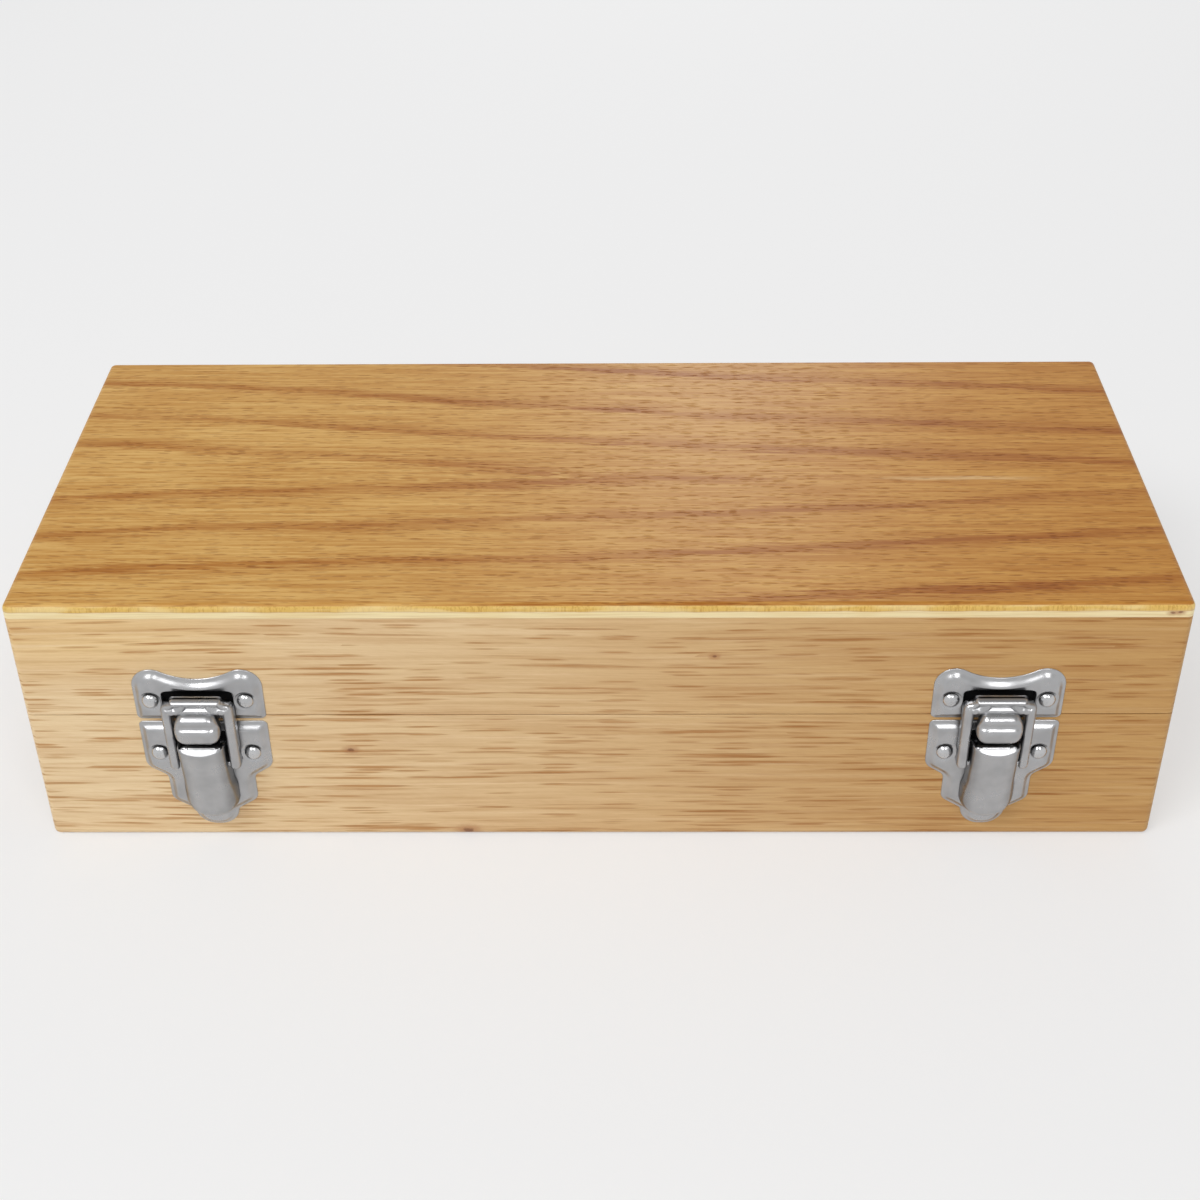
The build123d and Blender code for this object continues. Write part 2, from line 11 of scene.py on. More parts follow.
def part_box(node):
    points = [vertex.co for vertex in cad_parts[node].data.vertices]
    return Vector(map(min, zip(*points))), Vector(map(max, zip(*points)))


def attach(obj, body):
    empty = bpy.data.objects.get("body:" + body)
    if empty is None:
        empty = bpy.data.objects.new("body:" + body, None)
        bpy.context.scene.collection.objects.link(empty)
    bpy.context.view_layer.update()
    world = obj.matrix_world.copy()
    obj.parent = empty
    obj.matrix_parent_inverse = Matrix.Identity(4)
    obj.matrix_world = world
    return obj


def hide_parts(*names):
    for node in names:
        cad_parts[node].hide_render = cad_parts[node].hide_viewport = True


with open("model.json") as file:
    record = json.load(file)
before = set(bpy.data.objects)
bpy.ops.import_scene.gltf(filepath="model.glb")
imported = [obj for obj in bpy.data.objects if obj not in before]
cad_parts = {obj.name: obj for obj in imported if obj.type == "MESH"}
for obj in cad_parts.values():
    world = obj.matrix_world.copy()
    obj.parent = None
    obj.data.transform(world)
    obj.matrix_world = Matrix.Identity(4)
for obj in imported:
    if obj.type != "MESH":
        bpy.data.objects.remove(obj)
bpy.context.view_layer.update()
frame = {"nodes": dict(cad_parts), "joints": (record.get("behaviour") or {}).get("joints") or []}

bl_info = {
    "name": "Wooden microphone box",
    "version": (1, 0, 0),
    "blender": (4, 5, 0),
    "location": "3D View > Sidebar > Box",
    "description": "Dresses the microphone box in oak, ply, foam and nickel, and sets its stage",
    "category": "Object",
}

MM = 0.001
MERGE = 2e-6  # points nearer to each other than this, in metres, become one
pivots = {joint["name"]: joint["pos_m"] for joint in frame["joints"] if "pos_m" in joint}
front_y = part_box("base_front")[0][1] / MM
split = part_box("base_front")[1][2] / MM
lid_frame_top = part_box("lid_top")[0][2] / MM
sides = ("left", "right")


# Settings


def colour(label, note, default):
    return FloatVectorProperty(
        name=label, description=note, subtype="COLOR", size=3, min=0.0, max=1.0, default=default
    )


def length(label, note, default, low, high):
    """A length in millimetres."""
    return FloatProperty(name=label, description=note, default=default, min=low, max=high)


def brightness(label, note, default, high):
    """How strong a light is."""
    return FloatProperty(name=label, description=note, default=default, min=0.0, max=high)


class OakSettings(bpy.types.PropertyGroup):
    """Colours of the wood and spacing of its figure."""

    # From the left end's colours to the right end's is partly the wood's own tone and partly painted light:
    # paler where the lamps light it most, darker where their light falls off
    top_light: colour("Top, pale and lit", "Light wood between the bands of the lid's face", (0.72, 0.445, 0.142))
    top_warm: colour("Top, warm and shaded", "What the light wood turns to towards the right end", (0.59, 0.30, 0.066))
    top_streak: colour("Top, streaks", "What the wood is multiplied by in fine streaks", (0.76, 0.62, 0.43))
    top_band: colour("Top, band", "What it is multiplied by in its orange-brown bands", (0.66, 0.44, 0.17))
    board_pale: colour("Boards, pale and lit", "Wood of the frame boards at their left end", (0.80, 0.61, 0.365))
    board_warm: colour("Boards, warm and shaded", "What it turns to towards the right end", (0.55, 0.32, 0.115))
    board_streak: colour("Boards, streaks", "What boards are multiplied by in streaks", (0.62, 0.42, 0.25))
    pore: colour("Pores", "What the oak is multiplied by in its short dashes", (0.46, 0.33, 0.27))


class PlySettings(bpy.types.PropertyGroup):
    """Colours of the plies on the lid's rounded edge and of the bottom panel."""

    cross_ply: colour("Cross ply", "Yellow ply whose end grain shows at the front", (0.71, 0.465, 0.125))
    long_ply: colour("Long ply", "Cream ply under it", (0.86, 0.72, 0.42))
    glue: colour("Glue line", "Thin line between the plies", (0.50, 0.30, 0.17))
    panel: colour("Bottom panel", "Bare birch face of the bottom panel", (0.66, 0.50, 0.29))


class MetalSettings(bpy.types.PropertyGroup):
    """Finish of the latches, hinges and screws."""

    nickel: colour("Nickel", "Satin plating of the pressed pieces", (0.455, 0.457, 0.465))
    steel: colour("Screws and pins", "Brighter plating of screws and pins", (0.57, 0.572, 0.58))
    roughness: FloatProperty(
        name="Satin", description="Roughness of the plating", subtype="FACTOR",
        min=0.05, max=0.8, default=0.29
    )


class LiningSettings(bpy.types.PropertyGroup):
    """The foam in both halves."""

    foam: colour("Foam", "Charcoal foam", (0.035, 0.035, 0.039))
    cell: length("Cells", "Size of the foam's cells, mm", 0.9, 0.3, 4.0)
    lip: length("Lip", "Softness of the edges of the rooms in the foam, mm", 1.6, 0.2, 5.0)


class StageSettings(bpy.types.PropertyGroup):
    """Floor, light and camera."""

    floor: colour("Floor", "Pale floor", (0.93, 0.93, 0.935))
    backdrop: colour("Backdrop", "Pale backdrop behind the box", (0.87, 0.87, 0.87))
    key: brightness("Key lamp", "Power of the big lamp at the left, W", 35.0, 200.0)
    second: brightness("Second lamp", "Power of the lamp at the right, W", 14.0, 80.0)
    back: brightness("Back lamp", "Power of the lamp behind, W", 2.2, 60.0)
    sky: brightness("Sky", "Strength of the even light", 0.55, 2.0)
    lens: length("Lens", "Focal length, mm", 56.294, 20.0, 200.0)
    floor_size: FloatProperty(
        name="Floor, side", description="Side of the floor", unit="LENGTH", default=12.0, min=2.0, max=50.0
    )


# Place and size of each lamp, and where they all point, in metres
LAMPS = {
    "key": ((-1.25, -1.45, 2.25), (1.5, 0.9)),
    "second": ((0.68, -1.75, 2.10), (0.8, 0.7)),
    "back": ((0.10, 1.22, 0.74), (0.22, 0.50)),
}
LAMPS_AIM = (0.0, 0.0, 0.04)
FLOOR_DROP = 0.0002
EVEN_SHARE = 0.5  # how much of the floor the camera and gloss see as even
BACKDROP_FADE = (0.35, 0.80, 1.0, 0.40)  # sines of the angles up where it starts and ends, then its strengths

# The camera's place in metres, and its pitch down, yaw and roll in degrees
CAMERA_PLACE = (0.00798, -0.5033, 0.3997)
CAMERA_TURN = (35.692, -0.915, -0.648)
SENSOR_WIDTH = 36.0

# Colours of the wood's smaller marks
SHADES = {
    "golden fleck": (0.84, 0.56, 0.19),
    "gleam": (0.82, 0.62, 0.34),
    "golden corner": (0.74, 0.46, 0.13),
    "pale streak": (0.88, 0.70, 0.45),
    "knot, eye": (0.36, 0.13, 0.045),
    "knot, heart": (0.17, 0.06, 0.03),
    "cross ply, tick": (0.50, 0.26, 0.05),
    "cross ply, pale": (0.84, 0.66, 0.32),
    "long ply, line": (0.62, 0.42, 0.18),
    "long ply, dark": (0.74, 0.52, 0.22),
    "birch, fibre": (0.46, 0.31, 0.15),
    "birch, pale": (0.74, 0.60, 0.38),
}

# Pin knots: place along the board and height, and size, in millimetres
BOARD_KNOTS = (((-74.4, 34.5), 0.75), ((-40.6, 1.8), 1.2), ((34.0, 69.7), 0.5))
PLY_KNOTS = (((163.5, 85.0), 0.5), ((165.6, 85.2), 0.5))


# Shader sums


class Wire:
    """A socket that takes part in sums: every operator adds the Math node for it."""

    def __init__(self, graph, socket):
        self.graph = graph
        self.socket = socket

    def sum(self, operation, *others, **settings):
        return self.graph.node("Math", self, *others, settings={"operation": operation, **settings})

    def __add__(self, other):
        return self.sum("ADD", other)

    def __radd__(self, other):
        return self.sum("ADD", other)

    def __sub__(self, other):
        return self.sum("SUBTRACT", other)

    def __rsub__(self, other):
        return self.graph.node("Math", other, self, settings={"operation": "SUBTRACT"})

    def __mul__(self, other):
        return self.sum("MULTIPLY", other)

    def __rmul__(self, other):
        return self.sum("MULTIPLY", other)

    def __truediv__(self, other):
        return self.sum("DIVIDE", other)

    def __pow__(self, other):
        return self.sum("POWER", other)

    def __abs__(self):
        return self.sum("ABSOLUTE")

    def root(self):
        return self.sum("SQRT")

    def capped(self):
        """Kept between 0 and 1."""
        return self.sum("ADD", 0.0, use_clamp=True)

    def step(self, low, high, start=0.0, end=1.0):
        """Smoothly from start at low to end at high. Low may be the larger."""
        if low > high:
            low, high, start, end = high, low, end, start
        settings = {"interpolation_type": "SMOOTHSTEP"}
        return self.graph.node("MapRange", self, low, high, start, end, settings=settings)


class Graph:
    """The node tree of a new material or world. node() adds any node: its type, then what its sockets take,
    in order or by name. Its settings are set first, because they decide which sockets show."""

    def __init__(self, name, kind="materials"):
        self.owner = getattr(bpy.data, kind).new(name)
        self.owner.use_nodes = True
        self.tree = self.owner.node_tree
        self.tree.nodes.clear()

    def node(self, kind, *values, settings=None, out=0, **named):
        node = self.tree.nodes.new("ShaderNode" + kind)
        for key, value in (settings or {}).items():
            setattr(node, key, value)
        shown = [socket for socket in node.inputs if socket.enabled]
        for socket, value in zip(shown, values):
            self.feed(socket, value)
        for key, value in named.items():
            self.feed(next(socket for socket in shown if socket.name == key.replace("_", " ")), value)
        outputs = [socket for socket in node.outputs if socket.enabled]
        return Wire(self, outputs[out]) if outputs else None

    def feed(self, socket, value):
        if isinstance(value, Wire):
            self.tree.links.new(value.socket, socket)
        elif value is not None:
            if not isinstance(value, (int, float)) and len(socket.default_value) == 4 and len(value) == 3:
                value = (*value, 1.0)
            socket.default_value = value

    def place(self):
        """Object coordinates in millimetres, as x, y and z."""
        spot = self.node("TexCoord", out=3)
        grown = self.node("VectorMath", spot, 1 / MM, settings={"operation": "SCALE"})
        return [self.node("SeparateXYZ", grown, out=axis) for axis in range(3)]

    def vector(self, x, y, z=0.0):
        return self.node("CombineXYZ", x, y, z)

    def noise(self, place, detail=2.0, roughness=0.5, scale=1.0):
        return self.node("TexNoise", self.vector(*place), scale, detail, roughness)

    def mix(self, factor, first, second, kind="MIX"):
        settings = {"data_type": "RGBA", "blend_type": kind}
        return self.node("Mix", factor, first, second, settings=settings)

    def bump(self, height, distance, strength=1.0):
        return self.node("Bump", Strength=strength, Distance=distance, Height=height)

    def seen(self):
        """1 for rays of the camera, of gloss and of glass, and 0 for light that falls on things."""
        camera, gloss, glass = (self.node("LightPath", out=ray) for ray in (0, 3, 6))
        return camera.sum("MAXIMUM", gloss).sum("MAXIMUM", glass)

    def surface(self, **sockets):
        self.node("OutputMaterial", self.node("BsdfPrincipled", **sockets))
        return self.owner


# Materials


DASH_EDGE, DASH_HEART = 0.40, 0.22  # where a dash starts and is full, as shares of its cell
LOT_BLUR = 0.12


def dashes(graph, along, across, depth, size, share):
    """Pores: stretched cells, each with a short dash at its heart, kept in about this share of the cells."""
    cells = graph.vector(along / size[0], across / size[1], depth / size[1])
    distance = graph.node("TexVoronoi", cells, Scale=1.0)
    lot = graph.node("SeparateColor", graph.node("TexVoronoi", cells, Scale=1.0, out=1))
    return distance.step(DASH_EDGE, DASH_HEART) * lot.step(share + LOT_BLUR, share - LOT_BLUR)


# Where the lid's bands lie: each ring's distance from the middle line at the left end, and its strength
RINGS = ((16.5, 0.95), (36.5, 0.85), (57.0, 1.0), (83.0, 1.0), (104.0, 0.7))


def cathedral(graph, oak, x, y, z):
    """The lid's face: bands that lie on nested arches. An arch's value is the distance from the middle line
    plus a slope along the box, with noise that bends and frays it. A band is where it passes a ring's value.
    Noise reads a place slid along the grain by the place across it, which breaks its columns up."""
    middle = x.step(-170.0, 60.0) * -5.0 + 0.5
    reach = ((y - middle) ** 2.0 + 0.5).root()
    wander = graph.noise((x / 80.0, y / 24.0, 3.7), 2.0) - 0.5
    slid = x + y * 4.3
    frayed = graph.noise((slid / 16.0, y / 0.95, 8.1), 3.0, 0.6) - 0.5
    torn = graph.noise((slid / 5.0, y / 0.5, 2.2), 2.0, 0.5) - 0.5
    arch = reach + (x + 170.0) * 0.084 + wander * 7.0 + frayed * 7.5 + torn * 4.0
    fibre = graph.noise((slid / 20.0, y / 0.7, 6.6), 3.0, 0.6)
    speck = graph.noise((slid / 1.9, y / 0.45, 4.4), 2.0, 0.6)
    strength = graph.noise((x / 60.0, y / 14.0, 5.2), 2.0).step(0.30, 0.66) * 0.50 + 0.60
    bands = None
    for ring, weight in RINGS:
        away = arch - ring
        haze = away.step(7.5, 1.0) * away.step(-3.2, 0.0)
        band = (abs(away).step(3.0, 0.7) * 0.50 + haze * 0.34) * weight
        bands = band if bands is None else bands + band
    bands = (bands * strength).capped()
    broad = graph.noise((x / 90.0, y / 9.0, 7.7), 2.0)
    soft = graph.noise((slid / 44.0, y / 3.2, 1.3), 2.0, 0.55)
    streak = graph.noise((slid / 26.0, y / 1.3, 2.9), 2.0, 0.55)
    # Partly painted shade: the lid's wood turns warmer and darker towards the right end, partly its own tone
    wood = graph.mix(x.step(-150.0, 175.0), oak.top_light, oak.top_warm)
    grain = soft.step(0.34, 0.70) * 0.34 + streak.step(0.40, 0.66) * 0.60 + fibre.step(0.38, 0.64) * 0.46
    grain = grain + broad.step(0.38, 0.66) * 0.22 + (speck - 0.5) * 0.70
    wood = graph.mix(grain.capped(), wood, oak.top_streak, "MULTIPLY")
    wood = graph.mix(bands * (fibre * 0.9 + 0.60).capped(), wood, oak.top_band, "MULTIPLY")
    golden = dashes(graph, x * 0.97 + 7.0, y * 1.03, z, (7.0, 1.1), 0.55) * abs(y + 2.6).step(4.5, 1.5)
    wood = graph.mix(golden * abs(x + 42.0).step(62.0, 36.0) * 0.45, wood, SHADES["golden fleck"])
    gleam = abs(y + 6.4 - fibre * 3.6).step(1.5, 0.2) * abs(x - 112.0).step(32.0, 8.0)
    wood = graph.mix(gleam * 0.40, wood, SHADES["gleam"])
    bent = y + wander * 9.0
    long = dashes(graph, x, bent, z, (7.0, 1.15), 0.72)
    small = dashes(graph, x * 1.07 + 31.0, bent * 0.93 + 11.0, z, (4.6, 0.95), 0.60)
    marks = (long * (fibre * 0.8 + 0.25) + small * (bands * 0.6 + 0.40)).capped()
    return graph.mix(marks * 0.56, wood, oak.pore, "MULTIPLY"), marks, fibre


def rift(graph, oak, along, across, depth):
    """The boards' face: thin streaks that run along the board and wander a little. The wood is palest at the
    left end and darker to the right, partly its own tone and partly painted light and shade. A golden patch
    lies at the left end near the top."""
    drift = graph.noise((along / 150.0, across / 40.0, depth / 40.0), 1.0) - 0.5
    level = across + drift * 5.0
    slid = along + level * 6.1
    broad = graph.noise((along / 110.0, level / 7.0, depth / 9.0), 2.0)
    streak = graph.noise((slid / 70.0, level / 1.7, depth / 3.0 + 4.0), 2.0, 0.5)
    fibre = graph.noise((slid / 18.0, level / 0.60, depth / 0.9), 2.0, 0.55)
    speck = graph.noise((slid / 2.2, level / 0.50, depth / 0.9), 2.0, 0.55)
    pale = graph.noise((slid / 60.0, level / 1.5, depth / 3.0 + 7.0), 2.0, 0.5)
    rightward = along.step(-170.0, 175.0)
    fine = dashes(graph, along, level, depth, (19.0, 1.30), 0.50)
    middling = dashes(graph, along * 0.93 + 41.0, level * 1.04 + 17.0, depth, (33.0, 1.55), 0.44)
    long = dashes(graph, along * 1.05 + 83.0, level * 0.97 + 29.0, depth, (58.0, 1.75), 0.42)
    lines = (fine * 0.60 + middling * 0.65 + long * 0.60) * (streak * 0.7 + 0.50) * (fibre * 0.8 + 0.60)
    # Partly painted light: the boards are paler at the left end and darker to the right, partly their own
    # tone
    wood = graph.mix(rightward, oak.board_pale, oak.board_warm)
    gold = along.step(-70.0, -150.0) * across.step(52.0, 80.0) * 0.40
    wood = graph.mix(gold, wood, SHADES["golden corner"])
    wood = graph.mix(pale.step(0.52, 0.68) * (0.34 - rightward * 0.26), wood, SHADES["pale streak"])
    grain = broad.step(0.36, 0.68) * 0.18 + streak.step(0.46, 0.68) * 0.28 + fibre.step(0.40, 0.68) * 0.16
    grain = (grain + lines * (1.15 - rightward * 0.35) + (speck - 0.5) * 0.40).capped()
    wood = graph.mix(grain * 0.90, wood, oak.board_streak, "MULTIPLY")
    marks = (lines * fibre.step(0.48, 0.60) * 0.6).capped()
    return graph.mix(marks * 0.40, wood, oak.pore, "MULTIPLY"), marks, fibre


def knot(graph, wood, along, across, centre, size):
    """A pin knot: a dark heart in a redder eye that is longer along the grain."""
    far = (((along - centre[0]) / (size * 1.7)) ** 2.0 + ((across - centre[1]) / size) ** 2.0).root()
    ragged = far + (graph.noise((along, across), 2.0) - 0.5) * 0.9
    eye = graph.mix(ragged.step(3.0, 0.8) * 0.50, wood, SHADES["knot, eye"])
    return graph.mix(ragged.step(1.1, 0.4) * 0.70, eye, SHADES["knot, heart"])


def varnished(graph, wood, marks, fibre):
    """Satin varnish that sinks a little into the pores."""
    relief = fibre * 0.35 - marks
    return graph.surface(
        Base_Color=wood,
        Roughness=marks * 0.20 + fibre * 0.10 + 0.34,
        Normal=graph.bump(relief, 0.00008, 0.5),
        Specular_IOR_Level=0.22,
    )


def oak_board(oak, name, grain):
    """A solid board whose grain runs along x or y."""
    graph = Graph(name)
    x, y, z = graph.place()
    along, depth = (x, y) if grain == "x" else (y, x)
    wood, marks, fibre = rift(graph, oak, along, z, depth)
    if grain == "x":
        for centre, size in BOARD_KNOTS:
            wood = knot(graph, wood, along, z, centre, size)
    return varnished(graph, wood, marks, fibre)


def oak_panel(oak, ply):
    """The lid's panel: an oak face, and under it the plies that its rounded edge lays bare."""
    graph = Graph("oak ply panel")
    x, y, z = graph.place()
    face, marks, fibre = cathedral(graph, oak, x, y, z)
    waver = (graph.noise((x / 14.0, y / 14.0), 3.0, 0.6) - 0.5) * 1.1
    height = z - lid_frame_top
    ticks = graph.noise((x / 0.6, y / 0.6, z / 6.0), 2.0, 0.6)
    patch = graph.noise((x / 24.0, y / 24.0, z / 3.0), 2.0)
    cross = graph.mix(ticks.step(0.42, 0.70) * 0.65, ply.cross_ply, SHADES["cross ply, tick"])
    cross = graph.mix(patch.step(0.44, 0.62) * 0.60, cross, SHADES["cross ply, pale"])
    lines = graph.noise((x / 22.0, y / 22.0, z / 0.28), 2.0)
    long = graph.mix(lines.step(0.45, 0.72) * 0.45, ply.long_ply, SHADES["long ply, line"])
    long = graph.mix(patch.step(0.56, 0.36) * 0.30, long, SHADES["long ply, dark"])
    for centre, size in PLY_KNOTS:
        long = knot(graph, long, x, z, centre, size)
    plies = graph.mix((height + waver).step(2.15, 2.40), long, cross)
    seam = abs(height + waver - 2.27).step(0.20, 0.05)
    plies = graph.mix(seam * 0.50, plies, ply.glue)
    bottom_seam = abs(height - 0.05).step(0.20, 0.02)
    plies = graph.mix(bottom_seam * 0.5, plies, ply.glue)
    on_face = height.step(3.90, 4.15)
    wood = graph.mix(on_face, plies, face)
    return varnished(graph, wood, marks * on_face, fibre)


def birch_panel(ply):
    """The bare bottom panel."""
    graph = Graph("birch ply")
    x, y, z = graph.place()
    fibre = graph.noise((x / 20.0, y / 0.5, z), 3.0, 0.6)
    broad = graph.noise((x / 80.0, y / 9.0, z / 4.0), 2.0)
    wood = graph.mix(fibre.step(0.45, 0.75) * 0.30, ply.panel, SHADES["birch, fibre"])
    wood = graph.mix(broad.step(0.40, 0.65) * 0.25, wood, SHADES["birch, pale"])
    return graph.surface(Base_Color=wood, Roughness=fibre * 0.1 + 0.6, Normal=graph.bump(fibre, 0.00006, 0.5))


DARK_SHARE = 0.42  # how dark the plating's colour gets at most, in its clouds and where shade is painted


def lever_painted_shade(across, out, up):
    """Painted shade: the lever's plating is painted darker towards its sides and at its tail."""
    return abs(across).step(3.6, 7.4) * 0.62 + up.step(-30.0, -36.0) * 0.25


def bail_painted_shade(across, out, up):
    """Painted shade: the claw is painted darker under its lower roll, and the bail at its back."""
    return up.step(-1.8, -4.4) * out.step(6.8, 7.4) * 0.60 + out.step(5.4, 3.4) * 0.45


def plated(name, shade, roughness, painted_shade=None):
    """Satin plating: faint clouds a few millimetres wide in its colour and gloss, and fine orange peel. The
    last argument, if given, says where shade is painted on the plating, from the places across, out and up on
    a latch."""
    graph = Graph(name)
    x, y, z = graph.place()
    cloud = graph.noise((x, y, z), 2.0, 0.5, 0.16)
    peel = graph.noise((x, y, z), 2.0, 0.5, 2.4)
    shadow = cloud.step(0.35, 0.70) * 0.22
    if painted_shade:
        # Painted shade: darker plating where the last argument says, added on top of the clouds
        shadow = (shadow + painted_shade(abs(x) - latch_middle("right"), front_y - y, z - split)).capped()
    metal = graph.mix(shadow, shade, tuple(DARK_SHARE * part for part in shade))
    return graph.surface(
        Base_Color=metal,
        Metallic=1.0,
        Roughness=(cloud - 0.5) * 0.10 + (peel - 0.5) * 0.04 + roughness,
        Normal=graph.bump(peel + cloud * 2.0, 0.00001, 0.08),
    )


def foam_material(lining):
    """Open-cell foam: paler walls round cells whose hollows are painted dark as painted shade."""
    graph = Graph("foam")
    x, y, z = graph.place()
    spot = graph.vector(x / lining.cell, y / lining.cell, z / lining.cell)
    cell = graph.node("TexVoronoi", spot, Scale=1.0)
    cloud = graph.noise((x, y, z), 2.0, 0.5, 0.12)
    # Painted shade: each cell's heart, its hollow, is darker than its walls
    heart = tuple(0.35 * part for part in lining.foam)
    dusty = tuple(1.7 * part for part in lining.foam)
    wall = graph.mix(cell.step(0.15, 0.75), heart, lining.foam)
    return graph.surface(
        Base_Color=graph.mix(cloud.step(0.35, 0.70) * 0.35, wall, dusty),
        Roughness=0.97,
        Normal=graph.bump(cell, 0.0004, 0.8),
        Sheen_Weight=0.25,
        Sheen_Roughness=0.6,
    )


# Surfaces worked out on grids, in millimetres


def closed_mesh(name, grids):
    """One mesh of several grids of points. Each grid is (points, joined along, joined across): every cell is
    a face, joined ends meet, and rows that shrink to one point close the piece there."""
    points = []
    faces = []
    start = 0
    for grid, along, across in grids:
        rows, columns = grid.shape[:2]
        index = start + np.arange(rows * columns).reshape(rows, columns)
        if along:
            index = np.vstack([index, index[:1]])
        if across:
            index = np.hstack([index, index[:, :1]])
        corners = (index[:-1, :-1], index[:-1, 1:], index[1:, 1:], index[1:, :-1])
        faces.append(np.stack(corners, -1).reshape(-1, 4))
        points.append(grid.reshape(-1, 3))
        start += rows * columns
    mesh = bpy.data.meshes.new(name)
    mesh.from_pydata((np.vstack(points) * MM).tolist(), [], np.vstack(faces).tolist())
    work = bmesh.new()
    work.from_mesh(mesh)
    bmesh.ops.remove_doubles(work, verts=work.verts, dist=MERGE)
    bmesh.ops.dissolve_degenerate(work, edges=work.edges, dist=MERGE / 2)
    bmesh.ops.recalc_face_normals(work, faces=work.faces)
    work.to_mesh(mesh)
    work.free()
    mesh.shade_smooth()
    return mesh


def make_piece(name, grids, material, body, nodes, sharp=40.0):
    """A piece of the box: its mesh, its finish, the body it rides on and the CAD nodes it stands for."""
    mesh = closed_mesh(name, grids)
    mesh.set_sharp_from_angle(angle=math.radians(sharp))
    piece = bpy.data.objects.new(name, mesh)
    bpy.context.scene.collection.objects.link(piece)
    mesh.materials.append(material)
    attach(piece, body)
    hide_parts(*nodes)
    return piece


def arc(centre, radius, first, last, count=40):
    """Points on a circle from one angle to another, in degrees."""
    turn = np.radians(np.linspace(first, last, count))
    return np.stack([centre[0] + radius * np.cos(turn), centre[1] + radius * np.sin(turn)], -1)


def rounded(corners):
    """A closed outline through corners (x, y, radius): each corner gives way to an arc that touches its
    sides."""
    runs = []
    spots = np.array([corner[:2] for corner in corners])
    for index, (x, y, radius) in enumerate(corners):
        here = np.array([x, y])
        back = spots[index - 1] - here
        ahead = spots[(index + 1) % len(corners)] - here
        back = back / np.hypot(*back)
        ahead = ahead / np.hypot(*ahead)
        half = math.acos(np.clip(back @ ahead, -1.0, 1.0)) / 2
        middle = (back + ahead) / np.hypot(*(back + ahead))
        centre = here + middle * radius / math.sin(half)
        first = here + back * radius / math.tan(half) - centre
        last = here + ahead * radius / math.tan(half) - centre
        start = math.atan2(first[1], first[0])
        sweep = (math.atan2(last[1], last[0]) - start + math.pi) % (2 * math.pi) - math.pi
        runs.append(arc(centre, radius, math.degrees(start), math.degrees(start + sweep), 24))
    return np.vstack(runs)


def evenly(outline, count):
    """The closed outline again, with its points the same distance apart."""
    loop = np.vstack([outline, outline[:1]])
    walked = np.concatenate([[0.0], np.cumsum(np.hypot(*np.diff(loop, axis=0).T))])
    stops = np.linspace(0.0, walked[-1], count, endpoint=False)
    return np.stack([np.interp(stops, walked, loop[:, axis]) for axis in (0, 1)], -1)


def softened(outline, reach):
    """The evenly spaced closed outline again, each point the mean of its neighbours up to reach off."""
    return sum(np.roll(outline, step, axis=0) for step in range(-reach, reach + 1)) / (2 * reach + 1)


def distance_to(points, outline):
    """Distance from each point to the closed outline: the least of its distances to the outline's sides."""
    first = outline
    side = np.roll(outline, -1, axis=0) - outline
    gap = points[..., None, :] - first
    share = np.clip((gap * side).sum(-1) / (side**2).sum(-1), 0.0, 1.0)
    return np.hypot(*np.moveaxis(gap - share[..., None] * side, -1, 0)).min(-1)


def smooth(value, low, high):
    """From 0 at low to 1 at high along a smooth curve."""
    share = np.clip((value - low) / (high - low), 0.0, 1.0)
    return share * share * (3 - 2 * share)


def at_latch(centre, across, out, up):
    """Latch measures to the box's millimetres: across the latch, out from the front, up from the split."""
    across, out, up = np.broadcast_arrays(across, out, up)
    return np.stack([centre + across, front_y - out, split + up], -1)


def latch_middle(side):
    return pivots[f"lever_{side}_pivot"][0] / MM


# Latch measures in millimetres: across the latch, out from the front face, up from the split

plate_thick = 2.0
rim = 2.9  # width of the shoulder and edge that run round a plate
field_rise, field_end = 1.5, 0.84  # height of the raised field, and its shoulder's share of the rim
edge_drop, edge_power = 0.45, 6
window_round, window_power = 0.45, 9.0
seat_radius, seat_dip = 3.1, 0.35
screw_apart, strike_screw_up, keeper_screw_up = 28.0, 6.8, -13.0
latch_screw = {"seat": plate_thick, "head": 2.45, "rise": 1.45, "shank": 1.3, "length_mm": 10.0}
strike_window = (1.4, 10.5, 10.4)  # lowest, highest, half width
keeper_window = (-8.5, -4.4, 6.9)
lever_sheet = 0.9
bail_pivot = (4.2, -15.0)  # out and up


def screw_places(up):
    return [(-screw_apart / 2, up), (screw_apart / 2, up)]


def strike_outline():
    """Two lobes over a dip, straight sides, and a straight lower edge. The dip is an arc of the circle that
    touches both lobes and is lowest at the given height."""
    lobe_x, lobe_up, lobe, dip_up = 13.2, 11.2, 6.0, 13.8
    corner_x, corner_up, corner = 17.6, 0.6, 1.6
    rise = dip_up - lobe_up
    dip = (lobe_x**2 + rise**2 - lobe**2) / (2 * (lobe - rise))
    lean = math.degrees(math.atan2(lobe_x, dip_up + dip - lobe_up))
    outline = [
        arc((lobe_x, lobe_up), lobe, 0, 90 + lean),
        arc((0, dip_up + dip), dip, -90 + lean, -90 - lean),
        arc((-lobe_x, lobe_up), lobe, 90 - lean, 180),
        arc((-corner_x, corner_up), corner, 180, 270, 12),
        arc((corner_x, corner_up), corner, 270, 360, 12),
    ]
    return np.vstack(outline)


def keeper_outline():
    """Shoulders, a waist and a rounded tip: one side's corners, and the same mirrored."""
    half = [(19.2, -2.0, 1.6), (19.2, -19.2, 4.0), (13.2, -23.2, 2.6), (13.2, -32.4, 3.4)]
    half += [(6.7, -36.6, 1.6), (6.7, -42.8, 6.2)]
    return rounded(half + [(-x, y, radius) for x, y, radius in reversed(half)])


